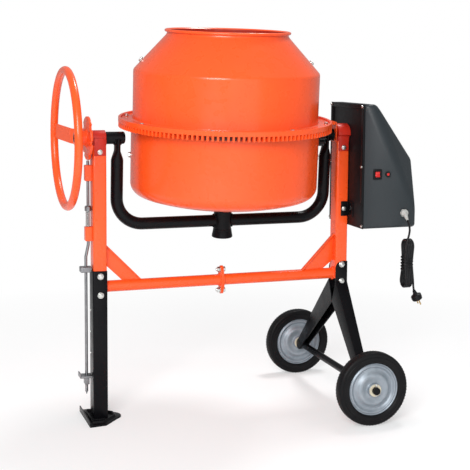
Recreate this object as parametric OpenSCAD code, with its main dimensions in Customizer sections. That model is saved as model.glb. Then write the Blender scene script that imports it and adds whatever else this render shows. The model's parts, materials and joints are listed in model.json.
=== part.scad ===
// Tilting-drum concrete mixer on a bolted two-wheeled stand, with an electric belt drive.
// Millimetres, +Z up, +X towards the motor housing, -Y towards the operator.
// The origin is on the floor under the middle of the machine.

/* [Stand] */
// Height of the tilt axis above the floor
pivot_z = 946; // [940:1:952]
// Middle of the left post, along X
left_x = -487.5; // [-489:0.5:-486]
// Middle of the right post, along X
right_x = 379.5; // [378:0.5:381]
// Width of each post, along X
post_w = 45; // [44:0.5:46]
// Depth of each post, along Y
post_d = 54; // [50:1:56]
// Height of the crossbar's middle above the floor
bar_z = 452; // [440:1:460]
// Diameter of the crossbar tube
bar_d = 38; // [34:1:42]
// Where the two halves of the crossbar are bolted together
bar_joint_x = -60; // [-80:1:-40]

/* [Drum] */
// Middle of the drum, along X
drum_x = -50; // [-51:0.5:-49]
// Lean of the drum from upright, towards the operator
lean = 4; // [0:0.5:6]
// Outer radius of the upper shell
upper_r = 314; // [310:1:316]
// Outer radius of the lower pan
pan_r = 318.5; // [317:0.5:320]
// Radius of the mouth's neck
neck_r = 203; // [190:1:210]
// Height of the crease between wall and cone above the tilt axis
crease_s = 223; // [215:1:230]
// Height of the mouth's lip above the tilt axis
lip_s = 358; // [350:1:360]
// Thickness of the drum's sheet
sheet = 3; // [2:0.5:4]

/* [Ring gear] */
// Number of teeth on the ring
ring_teeth = 140; // [140:14:140]
// Outer radius of the ring
ring_r = 362; // [361:0.5:362]
// Radius at which the ring's teeth mesh
ring_pitch_r = 350; // [349:0.5:351]
// Width of a ring tooth at that radius
ring_tooth_w = 6.9; // [6.5:0.1:7.0]

/* [Yoke] */
// Distance from the drum's axis to the middle of a yoke arm
yoke_half = 373; // [372:0.5:374]
// Diameter of the yoke tube
yoke_d = 41; // [38:1:42]
// Depth of the yoke's cross tube below the tilt axis
yoke_s = 292; // [288:1:298]
// Radius of the yoke's bends
yoke_bend = 90; // [85:1:100]

/* [Handwheel] */
// Middle plane of the handwheel's rim, along X
rim_x = -593.5; // [-594:0.5:-590]
// Outer diameter of the handwheel
rim_d = 468; // [450:1:480]
// Diameter of the rim's tube
rim_tube_d = 26; // [24:1:26]
// Diameter of the locking disc
disc_d = 143; // [140:1:144]

/* [Drive] */
// Number of teeth on the pinion
pinion_teeth = 14; // [14:1:14]
// Radius of the large pulley's flanges
pulley_r = 97; // [90:1:100]
// Height of the motor's axis above the floor
motor_z = 706; // [700:1:712]

/* [Wheels] */
// Radius of a tyre
tyre_r = 124; // [122:1:125]
// Distance of each wheel's middle from the middle of the machine
track_half = 327.5; // [325:0.5:330]
// Width of a tyre
tyre_w = 42; // [38:1:44]
// Place of the axle, along X
axle_x = 359.5; // [355:0.5:362]

/* [Housing] */
// Front edge of the motor housing, along Y
housing_front = -148; // [-150:1:-146]
// Rear edge of the motor housing, along Y
housing_rear = 128; // [124:1:130]
// Lower edge of the motor housing's back plate
housing_z0 = 628; // [624:1:632]
// Upper edge of the motor housing's back plate
housing_z1 = 1057; // [1050:1:1060]

/* [Hidden] */

paint = [0.93, 0.27, 0.12];
dark_paint = [0.70, 0.16, 0.09];
black = [0.05, 0.05, 0.06];
slate = [0.16, 0.17, 0.19];
zinc = [0.72, 0.73, 0.74];
galvanised = [0.62, 0.66, 0.70];
rubber = [0.04, 0.04, 0.04];

$fn = 96;
hull_fn = 32;
gap = 0.5;                 // air between neighbours that move past each other
running = 0.05;            // clearance of a shaft in its bearing
wall = 2.5;                // wall of the posts and the crossbar
bolt_d = 10;               // stand bolts

post_top = pivot_z - 22;
strap_bolt_z = post_top - 17;
left_post_z0 = 416;
right_post_z0 = 436;
left_leg_top = 509;
leg_wall = 3;
leg_d = post_d + 2 * leg_wall;
left_out = left_x - post_w / 2 - leg_wall;     // outer face of the left leg
plate_x = right_x + post_w / 2;                // back plate's inner face

ring_foot_s = 30;          // lower end of the ring's teeth
ring_root_s = 46;          // where the teeth meet the ring's web
web_t = 4;
flange_t = 3;
pan_flange_s = ring_root_s + web_t;
cone_flange_s = pan_flange_s + flange_t;
lip_top_s = cone_flange_s + flange_t + 6;
bolt_circle_r = ring_r - 21;
tooth_root_r = ring_r - 23;
pan_floor_r = 80;          // flat middle of the pan's floor
dish_r = 1000;             // radius of the pan's dished floor
dish_s = 757.2;            // centre of that dish, above the tilt axis
corner_r = 42;             // outer radius between floor and wall
corner_a = 73.2;           // how far that corner turns
corner_c = [pan_r - corner_r, -160];
floor_s = dish_s - sqrt(dish_r * dish_r - pan_floor_r * pan_floor_r);

spindle_r = 15;
hub_r = 32;
hub_top_s = floor_s - 9;
hub_foot_s = -326;
trunnion_r = yoke_d / 2;
shaft_r = 10;
journal_r = 17;
pinion_r = ring_foot_s + 5;
pinion_x0 = drum_x + tooth_root_r + 1;
pinion_x1 = drum_x + ring_r - 1;
left_arm_x = drum_x - yoke_half;

disc_x = -522;
disc_t = 8;
disc_foot_z = pivot_z - disc_d / 2;
pin_top_z = disc_foot_z - 1.5;
notch_angles = [for (i = [-3:3]) i * 40, -125, 125];
rod_x = disc_x;
rod_r = 5;
lower_rod_x = disc_x - 8.5;
upper_guide_z = [806, 858];
lower_guide_z = [608, 655];
collar_z = 720;
spring_d = 18;

belt_x = plate_x + 20;
belt_w = 11;
small_pulley_r = 25;
big_groove_r = pulley_r - 7;
small_groove_r = small_pulley_r - 4;
motor_y = -10;

switch_pos = [453, housing_front, 817];
button_pos = [491, housing_front, 817];
gland_pos = [558, housing_front, 680];

// The power cord's sizes, and the points of its route from the gland down to the plug
cord_d = 7;
hank_pos = [554, -188, 510];
hank_run = 60;             // half the straight run of the hank
hank_fold = 22.5;          // radius of the hank's folds
hank_depth = 38;
lead_route = [
    [558, -178.6, 657.4], [558, -184, 652], [558, -189, 645.5], [557.8, -194, 637],
    [556, -199.5, 625], [551.8, -204, 613], [547, -207.3, 602], [542.6, -209.5, 591],
    [540, -210.4, 580]
];
tail_route = [
    [568.5, -210.5, 440], [569, -210.7, 432], [569.8, -211, 425], [571, -211.3, 418]
];
plug_pos = [571, -211.3, 418];
plug_turn = 155;           // the plug's pins point down and outwards

// ---- helpers -------------------------------------------------------------------------------

module at_pivot() { translate([0, 0, pivot_z]) children(); }
module leaning() { at_pivot() rotate([lean, 0, 0]) children(); }
module drum_space() { leaning() translate([drum_x, 0, 0]) children(); }

// A round bar along X from x0 to x1
module bar_x(x0, x1, r) { translate([x0, 0, 0]) rotate([0, 90, 0]) cylinder(h = x1 - x0, r = r); }

// A box given by its lowest and highest corners
module block(a, b) { translate(a) cube(b - a); }

// A hexagon bolt: the head stands on z = 0 and the shank goes down
module hex_bolt(d, grip) {
    cylinder(h = 0.65 * d, r = 0.92 * d, $fn = 6);
    translate([0, 0, -grip]) cylinder(h = grip, r = d / 2, $fn = 24);
}

// A bolt with a nut under its grip
module bolt_and_nut(d, grip) {
    hex_bolt(d, grip + 1.2 * d);
    translate([0, 0, -grip - 0.8 * d]) cylinder(h = 0.8 * d, r = 0.92 * d, $fn = 6);
}

// Points of an arc round c, from angle a0 to a1
function arc(c, r, a0, a1, n) =
    [for (i = [0:n]) c + r * [cos(a0 + (a1 - a0) * i / n), sin(a0 + (a1 - a0) * i / n)]];

// ---- stand ---------------------------------------------------------------------------------

left_bolt_z = [428, 491];
right_bolt_z = [427, 487];

module post(x, z0) {
    difference() {
        block([x - post_w / 2, -post_d / 2, z0], [x + post_w / 2, post_d / 2, post_top]);
        block([x - post_w / 2 + wall, -post_d / 2 + wall, z0 - 1],
              [x + post_w / 2 - wall, post_d / 2 - wall, post_top - 4]);
        children();
    }
}

module left_post() {
    color(paint) post(left_x, left_post_z0) {
        for (z = left_bolt_z) translate([left_x, 0, z]) rotate([90, 0, 0])
            cylinder(h = post_d + 20, r = bolt_d / 2 + 0.2, center = true);
        // a small open hole low on the post
        translate([left_x, 0, 700]) rotate([90, 0, 0]) cylinder(h = post_d, r = 4);
    }
}

module right_post() {
    color(paint) post(right_x, right_post_z0)
        for (z = right_bolt_z) translate([right_x, 0, z]) rotate([90, 0, 0])
            cylinder(h = post_d + 20, r = bolt_d / 2 + 0.2, center = true);
}

// The lower leg is a channel: its web is outermost and its flanges hold the post
module left_leg() {
    color(black) difference() {
        block([left_out, -leg_d / 2, 6], [left_x + post_w / 2, leg_d / 2, left_leg_top]);
        block([left_out + leg_wall, -post_d / 2, 0], [left_x + post_w, post_d / 2, left_leg_top + 1]);
        for (z = left_bolt_z) translate([left_x, 0, z]) rotate([90, 0, 0])
            cylinder(h = leg_d + 20, r = bolt_d / 2 + 0.2, center = true);
    }
}

foot_edge_x = -536;
foot_tip_x = -412;
foot_t = 6;

// The foot is a plate with a blunt rounded point, a turned-up lip and a stiffening rib
module foot_plate() {
    outline = concat([[foot_edge_x, -82], [foot_edge_x, 102]], [[-480, 98]],
                     arc([foot_tip_x - 34, 12], 34, 60, -60, 8), [[-480, -76]]);
    color(slate) {
        linear_extrude(foot_t) polygon(outline);
        block([foot_edge_x, -82, foot_t], [foot_edge_x + 4, 102, foot_t + 14]);
        translate([0, 0, foot_t]) difference() {
            linear_extrude(8) polygon([[-523, -62], [-523, 80], [-482, 76], [-434, 30],
                                       [-434, -6], [-482, -58]]);
            translate([0, 0, -1]) linear_extrude(10) polygon(
                [[-518, -56], [-518, 74], [-484, 70], [-440, 27], [-440, -3], [-484, -52]]);
            block([left_out - 1, -leg_d / 2 - 1, -1], [left_x + post_w / 2 + 1, leg_d / 2 + 1, 10]);
        }
    }
}

leg_top = [right_x - post_w / 2, right_x + post_w / 2];
leg_end_y = 277.5;

// One leg of the A-frame: a plate bolted on the post, running down into a tapered channel
module a_leg(side) {
    y_plate = post_d / 2 + leg_wall;
    mirror([0, side < 0 ? 1 : 0, 0]) difference() {
        union() {
            // plate with one rounded upper corner
            translate([0, y_plate, 0]) rotate([90, 0, 0]) linear_extrude(leg_wall) polygon(concat(
                [[leg_top[0], 400], [leg_top[0], 470]],
                arc([leg_top[0] + 26, 472], 26, 180, 90, 8),
                [[leg_top[1], 498], [leg_top[1], 400]]));
            difference() {
                hull() {
                    block([leg_top[0], 0.5, 350], [leg_top[1], y_plate, 430]);
                    translate([axle_x - 15, leg_end_y, tyre_r]) bar_x(0, 30, 19, $fn = hull_fn);
                }
                // the channel is open on its lower side
                hull() {
                    block([leg_top[0] + 4, -8, 328], [leg_top[1] - 4, 16, 402]);
                    translate([axle_x - 11, leg_end_y - 16, tyre_r - 16]) bar_x(0, 22, 16, $fn = hull_fn);
                }
            }
        }
        translate([axle_x, 0, tyre_r]) rotate([-90, 0, 0]) cylinder(h = 400, r = axle_r + 0.05);
        for (z = right_bolt_z) translate([right_x, 0, z]) rotate([-90, 0, 0])
            cylinder(h = 60, r = bolt_d / 2 + 0.2);
        // flat seat for the lower bolt, where the channel starts to lean out
        translate([right_x, y_plate, right_bolt_z[0]]) rotate([-90, 0, 0]) cylinder(h = 30, r = 13);
        block([leg_top[0] - 1, -1, right_post_z0 - 1], [leg_top[1] + 1, post_d / 2, 600]);
    }
}

axle_r = 12.5;
axle_half = 369;

module front_leg() { color(black) a_leg(-1); }
module rear_leg() { color(black) a_leg(1); }

ear_offset = 36;

// A diamond flange with two ears, standing upright on the end of a crossbar half
module ear_flange(x) {
    translate([x, 0, bar_z]) rotate([0, 90, 0]) difference() {
        linear_extrude(5) polygon(concat(
            arc([-ear_offset, 0], 13, 130, 230, 8), [[0, -26]],
            arc([ear_offset, 0], 13, -50, 50, 8), [[0, 26]]));
        for (s = [-1, 1]) translate([s * ear_offset, 0, -1])
            cylinder(h = 7, r = bolt_d / 2 + 0.2);
    }
}

module bar_tube(x0, x1) {
    translate([0, 0, bar_z]) difference() {
        bar_x(x0, x1, bar_d / 2);
        bar_x(x0 - 1, x1 + 1, bar_d / 2 - wall);
    }
}

module crossbar_left() {
    color(paint) {
        bar_tube(left_x + post_w / 2, bar_joint_x - 5);
        ear_flange(bar_joint_x - 5);
    }
}

module crossbar_right() {
    color(paint) {
        bar_tube(bar_joint_x + 5, right_x - post_w / 2);
        ear_flange(bar_joint_x);
    }
}

// Bolts through the legs, the posts and the ears of the crossbar's flanges, the bolts of the
// pivot brackets, and the washers and split pins that hold the wheels
module stand_fasteners() {
    color(zinc) {
        for (z = left_bolt_z) translate([left_x, -leg_d / 2, z]) rotate([90, 0, 0])
            bolt_and_nut(bolt_d, leg_d);
        for (z = right_bolt_z) translate([right_x, -leg_d / 2, z]) rotate([90, 0, 0])
            bolt_and_nut(bolt_d, leg_d);
        for (s = [-1, 1]) translate([bar_joint_x + 5, 0, bar_z + s * ear_offset])
            rotate([0, 90, 0]) bolt_and_nut(bolt_d, 10);
        for (x = [left_x, right_x]) for (s = [0, 1]) mirror([0, s, 0])
            translate([x, -post_d / 2 - 4, strap_bolt_z]) rotate([90, 0, 0]) hex_bolt(8, 4);
        for (s = [0, 1]) mirror([0, s, 0]) wheel_keepers();
    }
}

// Washers on both sides of a wheel, and the split pin across the end of the axle
module wheel_keepers() {
    inner = track_half - hub_half - gap - 3;
    outer = track_half + hub_half + gap;
    translate([axle_x, 0, tyre_r]) rotate([90, 0, 0]) {
        for (h = [inner, outer]) translate([0, 0, h]) difference() {
            cylinder(h = 3, r = 21);
            translate([0, 0, -1]) cylinder(h = 5, r = axle_r + running);
        }
        for (s = [-1, 1]) translate([0, s * 14.5, outer + 5]) rotate([-s * 90, 0, 0])
            translate([0, 0, -1.8]) cylinder(h = 5, r = 2, $fn = 24);
    }
}

// A flat gusset with folded edges between a post and the crossbar
module brace(px, side, z_low, z_high, bx_near, bx_far) {
    top = bar_z + bar_d / 2;
    web = [[px, z_low], [px, z_high], [bx_far, top], [bx_near, top]];
    lip = 6;
    translate([0, 3, 0]) rotate([90, 0, 0]) {
        linear_extrude(6) polygon(web);
        translate([0, 0, 6]) linear_extrude(9) polygon(
            [[px, z_high], [bx_far, top], [bx_far - side * lip, top], [px, z_high - lip]]);
    }
}

module left_brace() {
    color(paint) brace(left_x + post_w / 2, 1, 524, 594, -409, -343);
}

module right_brace() {
    color(paint) brace(right_x - post_w / 2, -1, 500, 596, 318, 236);
}

// ---- wheels --------------------------------------------------------------------------------

tyre_inner = 88;
hub_half = 27;

module axle() {
    color(black) translate([axle_x, 0, tyre_r]) rotate([90, 0, 0])
        cylinder(h = 2 * axle_half, r = axle_r, center = true);
}

module at_wheel(side) {
    translate([axle_x, side * track_half, tyre_r]) rotate([90, 0, 0]) children();
}

// The disc is pressed from sheet: domed middle, rim groove and a seat for the tyre
module wheel_disc() {
    difference() {
        rotate_extrude() polygon(concat(
            [[axle_r + 4, -hub_half], [22, -hub_half], [22, -19]],
            arc([44, -8], 12, -110, -60, 4), [[66, -10], [72, -14], [84, -15], [tyre_inner, -17]],
            [[tyre_inner, 17], [84, 15], [72, 14], [66, 10]],
            arc([44, 8], 12, 60, 110, 4), [[22, 19], [22, hub_half], [axle_r + 4, hub_half]]));
    }
    // plastic bush in the hub
    rotate_extrude() polygon([[axle_r + 0.1, -hub_half], [axle_r + 4, -hub_half],
                              [axle_r + 4, hub_half], [axle_r + 0.1, hub_half]]);
}

module tyre() {
    rotate_extrude() polygon(concat(
        [[tyre_inner, -17], [tyre_inner + 8, -tyre_w / 2]],
        arc([tyre_r - 9, -tyre_w / 2 + 9], 9, -90, 0, 6),
        arc([tyre_r - 9, tyre_w / 2 - 9], 9, 0, 90, 6),
        [[tyre_inner + 8, tyre_w / 2], [tyre_inner, 17]]));
}

module front_wheel_disc() { color(galvanised) at_wheel(-1) wheel_disc(); }
module rear_wheel_disc() { color(galvanised) at_wheel(1) wheel_disc(); }
module front_tyre() { color(rubber) at_wheel(-1) tyre(); }
module rear_tyre() { color(rubber) at_wheel(1) tyre(); }

// ---- pivots --------------------------------------------------------------------------------

// A saddle on top of a post, with an arched bearing round the tilt axis
module pivot_bracket(x0, x1, arch_r, bore_r) {
    difference() {
        at_pivot() {
            bar_x(x0, x1, arch_r);
            block([x0, -post_d / 2, post_top - pivot_z], [x1, post_d / 2, 0]);
            // front strap down the post, carrying the bolt
            block([x0 + 4, -post_d / 2 - 4, post_top - pivot_z - 34], [x1 - 4, -post_d / 2, 0]);
            block([x0 + 4, post_d / 2, post_top - pivot_z - 34], [x1 - 4, post_d / 2 + 4, 0]);
        }
        at_pivot() bar_x(x0 - 1, x1 + 1, bore_r + running);
        block([x0 - 1, -post_d / 2, 0], [x1 + 1, post_d / 2, post_top]);
        for (s = [-1, 1]) translate([(x0 + x1) / 2, s * 25, strap_bolt_z]) rotate([90, 0, 0])
            cylinder(h = 30, r = 4.2, center = true);
    }
}

left_bracket_x = [left_x - post_w / 2, left_x + post_w / 2];
right_bracket_x = [right_x - post_w / 2, right_x + post_w / 2];

module left_pivot_bracket() {
    color(dark_paint) pivot_bracket(left_bracket_x[0], left_bracket_x[1], 26, spindle_r);
}

module right_pivot_bracket() {
    color(dark_paint) pivot_bracket(right_bracket_x[0], right_bracket_x[1], 40, journal_r);
}

// ---- yoke ----------------------------------------------------------------------------------

// The left trunnion: a black stub inboard of the post, and a journal that carries
// the locking disc and the handwheel
module left_trunnion() {
    color(black) leaning() {
        bar_x(left_bracket_x[1] + gap, left_arm_x + 18, trunnion_r);
        translate([left_arm_x + 18, 0, 0]) rotate([0, 90, 0]) rotate_extrude()
            polygon(concat([[0, 0]], arc([trunnion_r - 6, 0], 6, 0, 90, 6), [[0, 6]]));
        bar_x(-566, left_bracket_x[1] + gap, spindle_r);
    }
}

// The right trunnion is hollow: the drive shaft runs through it
module right_trunnion() {
    color(black) leaning() difference() {
        union() {
            bar_x(pinion_x1 + 2, right_bracket_x[0] - gap, trunnion_r);
            bar_x(right_bracket_x[0] - gap, right_bracket_x[1] + 3, journal_r);
        }
        bar_x(pinion_x1 + 1, right_bracket_x[1] + 4, shaft_r + running);
    }
}

// Path of half the yoke: cross tube, bend, upright arm; x grows outwards
module yoke_path(r) {
    bend_x = yoke_half - yoke_bend;
    translate([0, 0, -yoke_s]) bar_x(20, bend_x, r);
    translate([bend_x, 0, -yoke_s + yoke_bend]) rotate([90, 0, 0]) rotate([0, 0, -90])
        rotate_extrude(angle = 90) translate([yoke_bend, 0]) circle(r);
    translate([yoke_half, 0, -yoke_s + yoke_bend])
        cylinder(h = yoke_s - yoke_bend - 66, r = r);
}

module yoke_arm() {
    difference() {
        union() {
            yoke_path(yoke_d / 2);
            // the upper end is pressed flat under the trunnion
            hull() {
                translate([yoke_half, 0, -67]) cylinder(h = 1, r = yoke_d / 2, $fn = hull_fn);
                block([yoke_half - 9.5, -26, -46], [yoke_half + 9.5, 26, -45]);
            }
            block([yoke_half - 9.5, -26, -46], [yoke_half + 9.5, 26, 0]);
        }
        yoke_path(yoke_d / 2 - 3);
        translate([0, 0, -yoke_s - 60]) cylinder(h = 120, r = hub_r);
        bar_x(yoke_half - 60, yoke_half + 60, trunnion_r);
    }
}

module left_yoke_arm() { color(black) drum_space() mirror([1, 0, 0]) yoke_arm(); }
module right_yoke_arm() { color(black) drum_space() yoke_arm(); }

module yoke_hub() {
    color(black) drum_space() difference() {
        translate([0, 0, hub_foot_s]) cylinder(h = hub_top_s - hub_foot_s, r = hub_r);
        translate([0, 0, hub_foot_s - 1]) cylinder(h = 17, r = 26);
        translate([0, 0, hub_top_s - 16]) cylinder(h = 17, r = 26);
        translate([0, 0, hub_foot_s]) cylinder(h = hub_top_s - hub_foot_s, r = 20);
    }
}

module hub_bearings() {
    color(zinc) drum_space() for (s = [hub_foot_s, hub_top_s - 16]) translate([0, 0, s]) difference() {
        cylinder(h = 16, r = 26);
        translate([0, 0, -1]) cylinder(h = 18, r = spindle_r + running);
    }
}

// A flared cup closes the hub's lower end
module hub_cap() {
    color(black) drum_space() translate([0, 0, hub_foot_s]) rotate_extrude() polygon(concat(
        [[0, -22], [0, -25]], arc([31, -21], 4, -90, 0, 4),
        [[35, -16], [33.5, -6], [32.5, 0], [29, 0], [29, -18], [0, -18]]));
}

// ---- handwheel and lock --------------------------------------------------------------------

strap_x = -552;

module handwheel_rim() {
    color(paint) leaning() translate([rim_x, 0, 0]) rotate([0, 90, 0])
        rotate_extrude() translate([(rim_d - rim_tube_d) / 2, 0]) circle(rim_tube_d / 2);
}

// A dished strap crosses the rim and is welded into it at both ends
module handwheel_strap() {
    end_y = rim_d / 2 - rim_tube_d / 2;
    half = [[strap_x, 0], [strap_x, 40], [strap_x - 10, 62], [rim_x + 4, 180], [rim_x, end_y - 8]];
    back = [for (i = [len(half) - 1:-1:0]) half[i] - [5, i > 0 && i < 4 ? -1.5 : 0]];
    color(paint) leaning() difference() {
        translate([0, 0, -25]) for (s = [0, 1]) mirror([0, s, 0])
            linear_extrude(50) polygon(concat(half, back));
        bar_x(strap_x - 20, strap_x + 20, spindle_r + 0.1);
        translate([rim_x, 0, 0]) rotate([0, 90, 0])
            rotate_extrude() translate([(rim_d - rim_tube_d) / 2, 0]) circle(rim_tube_d / 2);
    }
}

module handwheel_nut() {
    color(zinc) leaning() difference() {
        translate([strap_x - 5 - 9, 0, 0]) rotate([0, 90, 0]) cylinder(h = 9, r = 24, $fn = 6);
        bar_x(-600, -500, spindle_r + 0.05);
    }
}

// The locking disc has a notch at the resting tilt, at each end of the travel and between
module locking_disc() {
    color(paint) at_pivot() difference() {
        union() {
            bar_x(disc_x - disc_t / 2, disc_x + disc_t / 2, disc_d / 2);
            bar_x(strap_x, disc_x, 26);
        }
        for (a = notch_angles) rotate([a, 0, 0]) {
            block([disc_x - disc_t, -7.5, -disc_d / 2 - 5], [disc_x + disc_t, 7.5, -disc_d / 2 + 12]);
        }
        bar_x(strap_x - 1, disc_x + disc_t, spindle_r + 0.1);
    }
}

// The rod carries the pin above and the pedal below; a joggle clears the leg
module lock_rod() {
    color(slate) {
        translate([rod_x, 0, lower_guide_z[0] - 12])
            cylinder(h = pin_top_z - lower_guide_z[0] + 12, r = rod_r);
        // a cup that hides the spring's upper end
        translate([rod_x, 0, collar_z - 12]) difference() {
            cylinder(h = 18, r = 11.5);
            translate([0, 0, -1]) cylinder(h = 13, r = 9.7);
        }
        hull() {
            translate([rod_x, 0, lower_guide_z[0] - 13]) cylinder(h = 1, r = rod_r, $fn = 24);
            translate([lower_rod_x, 0, 556]) cylinder(h = 1, r = rod_r, $fn = 24);
        }
        translate([lower_rod_x, 0, 112]) cylinder(h = 445, r = rod_r);
        translate([lower_rod_x, 0, 92]) cylinder(h = 20, r1 = 1.5, r2 = rod_r);
    }
}

module lock_pedal() {
    color(slate) difference() {
        union() {
            block([-552, -22, 150], [left_out - 1.5, 18, 157]);
            block([-538, -12, 126], [left_out - 2, 12, 150]);
            block([-556, -22, 150], [-552, 18, 166]);
        }
        translate([lower_rod_x, 0, 100]) cylinder(h = 80, r = rod_r + 0.02);
    }
}

// Nine turns of wire, drawn as rings
module lock_spring() {
    turns = 9;
    wire = 2.2;
    z0 = lower_guide_z[1] + wire / 2;
    pitch = (collar_z - gap - lower_guide_z[1] - 2 * wire) / (turns - 1);
    color(zinc) translate([rod_x, 0, z0]) {
        for (i = [0:turns - 1]) translate([0, 0, i * pitch])
            rotate_extrude($fn = 32) translate([spring_d / 2 - wire / 2, 0]) circle(wire / 2 - 0.02, $fn = 16);
    }
}

// Lugs on the post and on the leg that guide the rod
module lock_guides() {
    face = left_x - post_w / 2;
    color(paint) {
        for (z = [upper_guide_z, lower_guide_z]) difference() {
            block([rod_x - 11, -14, z[0]], [face, 14, z[1]]);
            translate([rod_x, 0, z[0] - 1]) cylinder(h = z[1] - z[0] + 2, r = rod_r + 0.3);
        }
        difference() {
            block([-550, -16, 504], [left_out, 16, 522]);
            translate([lower_rod_x, 0, 500]) cylinder(h = 30, r = rod_r + 0.3);
        }
    }
}

// ---- drum ----------------------------------------------------------------------------------

function dish_arc(r) = arc([0, dish_s], r, -90 + asin(pan_floor_r / dish_r), -90 + 16.7, 8);

module drum_pan() {
    outer = concat([[0, floor_s], [pan_floor_r, floor_s]], dish_arc(dish_r),
                   arc(corner_c, corner_r, -corner_a, 0, 12),
                   [[pan_r, pan_flange_s], [bolt_circle_r + 11, pan_flange_s],
                    [bolt_circle_r + 11, cone_flange_s]]);
    inner = concat([[pan_r - sheet, cone_flange_s]],
                   arc(corner_c, corner_r - sheet, 0, -corner_a, 12),
                   [[pan_floor_r, floor_s + sheet], [0, floor_s + sheet]]);
    color(paint) drum_space() difference() {
        rotate_extrude() polygon(concat(outer, inner));
        ring_of(8) translate([bolt_circle_r, 0, pan_flange_s - 1]) cylinder(h = 6, r = 4.2, $fn = 24);
        ring_of(6) translate([50, 0, floor_s - 1]) cylinder(h = 6, r = 5.2, $fn = 24);
        blade_holes();
    }
}

module ring_of(n) { for (i = [0:n - 1]) rotate([0, 0, 360 * i / n + 20]) children(); }

module drum_cone() {
    cone_top = lip_s - 18;
    bead = 5;
    outer = [[upper_r - sheet, cone_flange_s], [bolt_circle_r + 11, cone_flange_s],
             [bolt_circle_r + 11, cone_flange_s + flange_t], [upper_r, cone_flange_s + flange_t],
             [upper_r, crease_s - 6], [upper_r - 4, crease_s + 3], [neck_r + 1, cone_top],
             [neck_r, lip_s - 2 * bead]];
    rim = arc([neck_r + bead - 1, lip_s - bead], bead, -115, 150, 12);
    inner = [[neck_r - sheet, lip_s - 3], [neck_r - sheet, cone_top - 1],
             [upper_r - 4 - sheet, crease_s + 1], [upper_r - sheet, crease_s - 7]];
    color(paint) drum_space() difference() {
        rotate_extrude() polygon(concat(outer, rim, inner));
        ring_of(8) translate([bolt_circle_r, 0, cone_flange_s - 1]) cylinder(h = 6, r = 4.2, $fn = 24);
        blade_holes();
    }
}

// Radial outline of the ring's teeth, seen along the drum's axis
module tooth_ring() {
    half_deg = ring_tooth_w / ring_pitch_r / 2 * 180 / PI;
    tip_r = ring_r - 0.6;
    linear_extrude(ring_root_s - ring_foot_s + 1) difference() {
        polygon([for (i = [0:ring_teeth - 1]) let (a = 360 * (i + 0.5) / ring_teeth)
            each [for (p = [[tooth_root_r, -1], [tip_r, -1], [tip_r, 1], [tooth_root_r, 1]])
                p[0] * [cos(a + p[1] * half_deg), sin(a + p[1] * half_deg)]]]);
        circle(tooth_root_r - 3, $fn = 280);
    }
}

module ring_gear() {
    color(paint) drum_space() difference() {
        union() {
            translate([0, 0, ring_foot_s]) tooth_ring();
            rotate_extrude($fn = 280) polygon([
                [pan_r + 3, ring_root_s], [ring_r, ring_root_s], [ring_r, lip_top_s],
                [ring_r - 9, lip_top_s], [ring_r - 9, pan_flange_s], [pan_r + 3, pan_flange_s]]);
        }
        ring_of(8) translate([bolt_circle_r, 0, ring_root_s - 1]) cylinder(h = 6, r = 4.2, $fn = 24);
    }
}

module ring_bolts() {
    color(zinc) drum_space() ring_of(8) translate([bolt_circle_r, 0, cone_flange_s + flange_t])
        hex_bolt(8, 9.8);
}

blade_turns = [168, 348];
cone_a = 43;               // slope of the cone's outward normal
tab_t = 4;
blade_t = 5;
blade_r = upper_r - sheet - tab_t;    // outer edge of a blade, where its tabs stand

// Where a blade's bolts stand on the drum: outer radius, height, slope, thickness of the tab
blade_seats = [
    [pan_r, -68, 0, pan_r - sheet - blade_r], [upper_r - 28.2, 252, cone_a, tab_t]
];

module at_seat(b) { translate([b[0], 0, b[1]]) rotate([0, 90 - b[2], 0]) children(); }

module seat_holes() {
    for (b = blade_seats) at_seat(b) cylinder(h = 30, r = 5.2, center = true, $fn = 24);
}

module blade_holes() { for (a = blade_turns) rotate([0, 0, a]) seat_holes(); }

// Each blade is a paddle on edge, with tabs bolted to the drum
module mixing_blades() {
    color(dark_paint) drum_space() for (a = blade_turns) rotate([0, 0, a]) difference() {
        union() {
            translate([0, blade_t + 12, 0]) rotate([90, 0, 0]) linear_extrude(blade_t) polygon([
                [blade_r, -110], [blade_r, 218], [blade_r - 44, 268], [238, 250], [205, 190],
                [190, 60], [205, -60], [250, -120]]);
            for (b = blade_seats) at_seat(b) translate([-18, -14, -sheet - b[3] - 1])
                cube([36, 30, b[3] - 0.4]);
        }
        seat_holes();
    }
}

module blade_bolts() {
    color(zinc) drum_space() for (a = blade_turns) rotate([0, 0, a]) for (b = blade_seats)
        at_seat(b) hex_bolt(10, 14);
}

// The spindle's flange is bolted under the drum's floor
module spindle() {
    color(dark_paint) drum_space() {
        translate([0, 0, hub_foot_s - 6]) cylinder(h = floor_s - 8 - hub_foot_s + 6, r = spindle_r);
        difference() {
            translate([0, 0, floor_s - 8]) cylinder(h = 8, r = 70);
            ring_of(6) translate([50, 0, floor_s - 9]) cylinder(h = 10, r = 5.2, $fn = 24);
        }
        ring_of(6) translate([50, 0, floor_s + sheet]) hex_bolt(10, 11);
    }
}

// ---- drive ---------------------------------------------------------------------------------

module pinion() {
    tooth = 360 / pinion_teeth;
    root_r = pinion_r - 6.8;
    tip_r = pinion_r + 4.6;
    color(slate) leaning() translate([pinion_x0, 0, 0]) rotate([0, 90, 0]) difference() {
        linear_extrude(pinion_x1 - pinion_x0) polygon([for (i = [0:pinion_teeth - 1])
            let (a = 180 + tooth * i)
            each [for (p = [[root_r, -3.1], [pinion_r, -2], [tip_r, -1.1],
                            [tip_r, 1.1], [pinion_r, 2], [root_r, 3.1]])
                [p[0] * cos(a) - p[1] * sin(a), p[0] * sin(a) + p[1] * cos(a)]]]);
        translate([0, 0, -1]) cylinder(h = 40, r = shaft_r + 0.02);
    }
}

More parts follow.
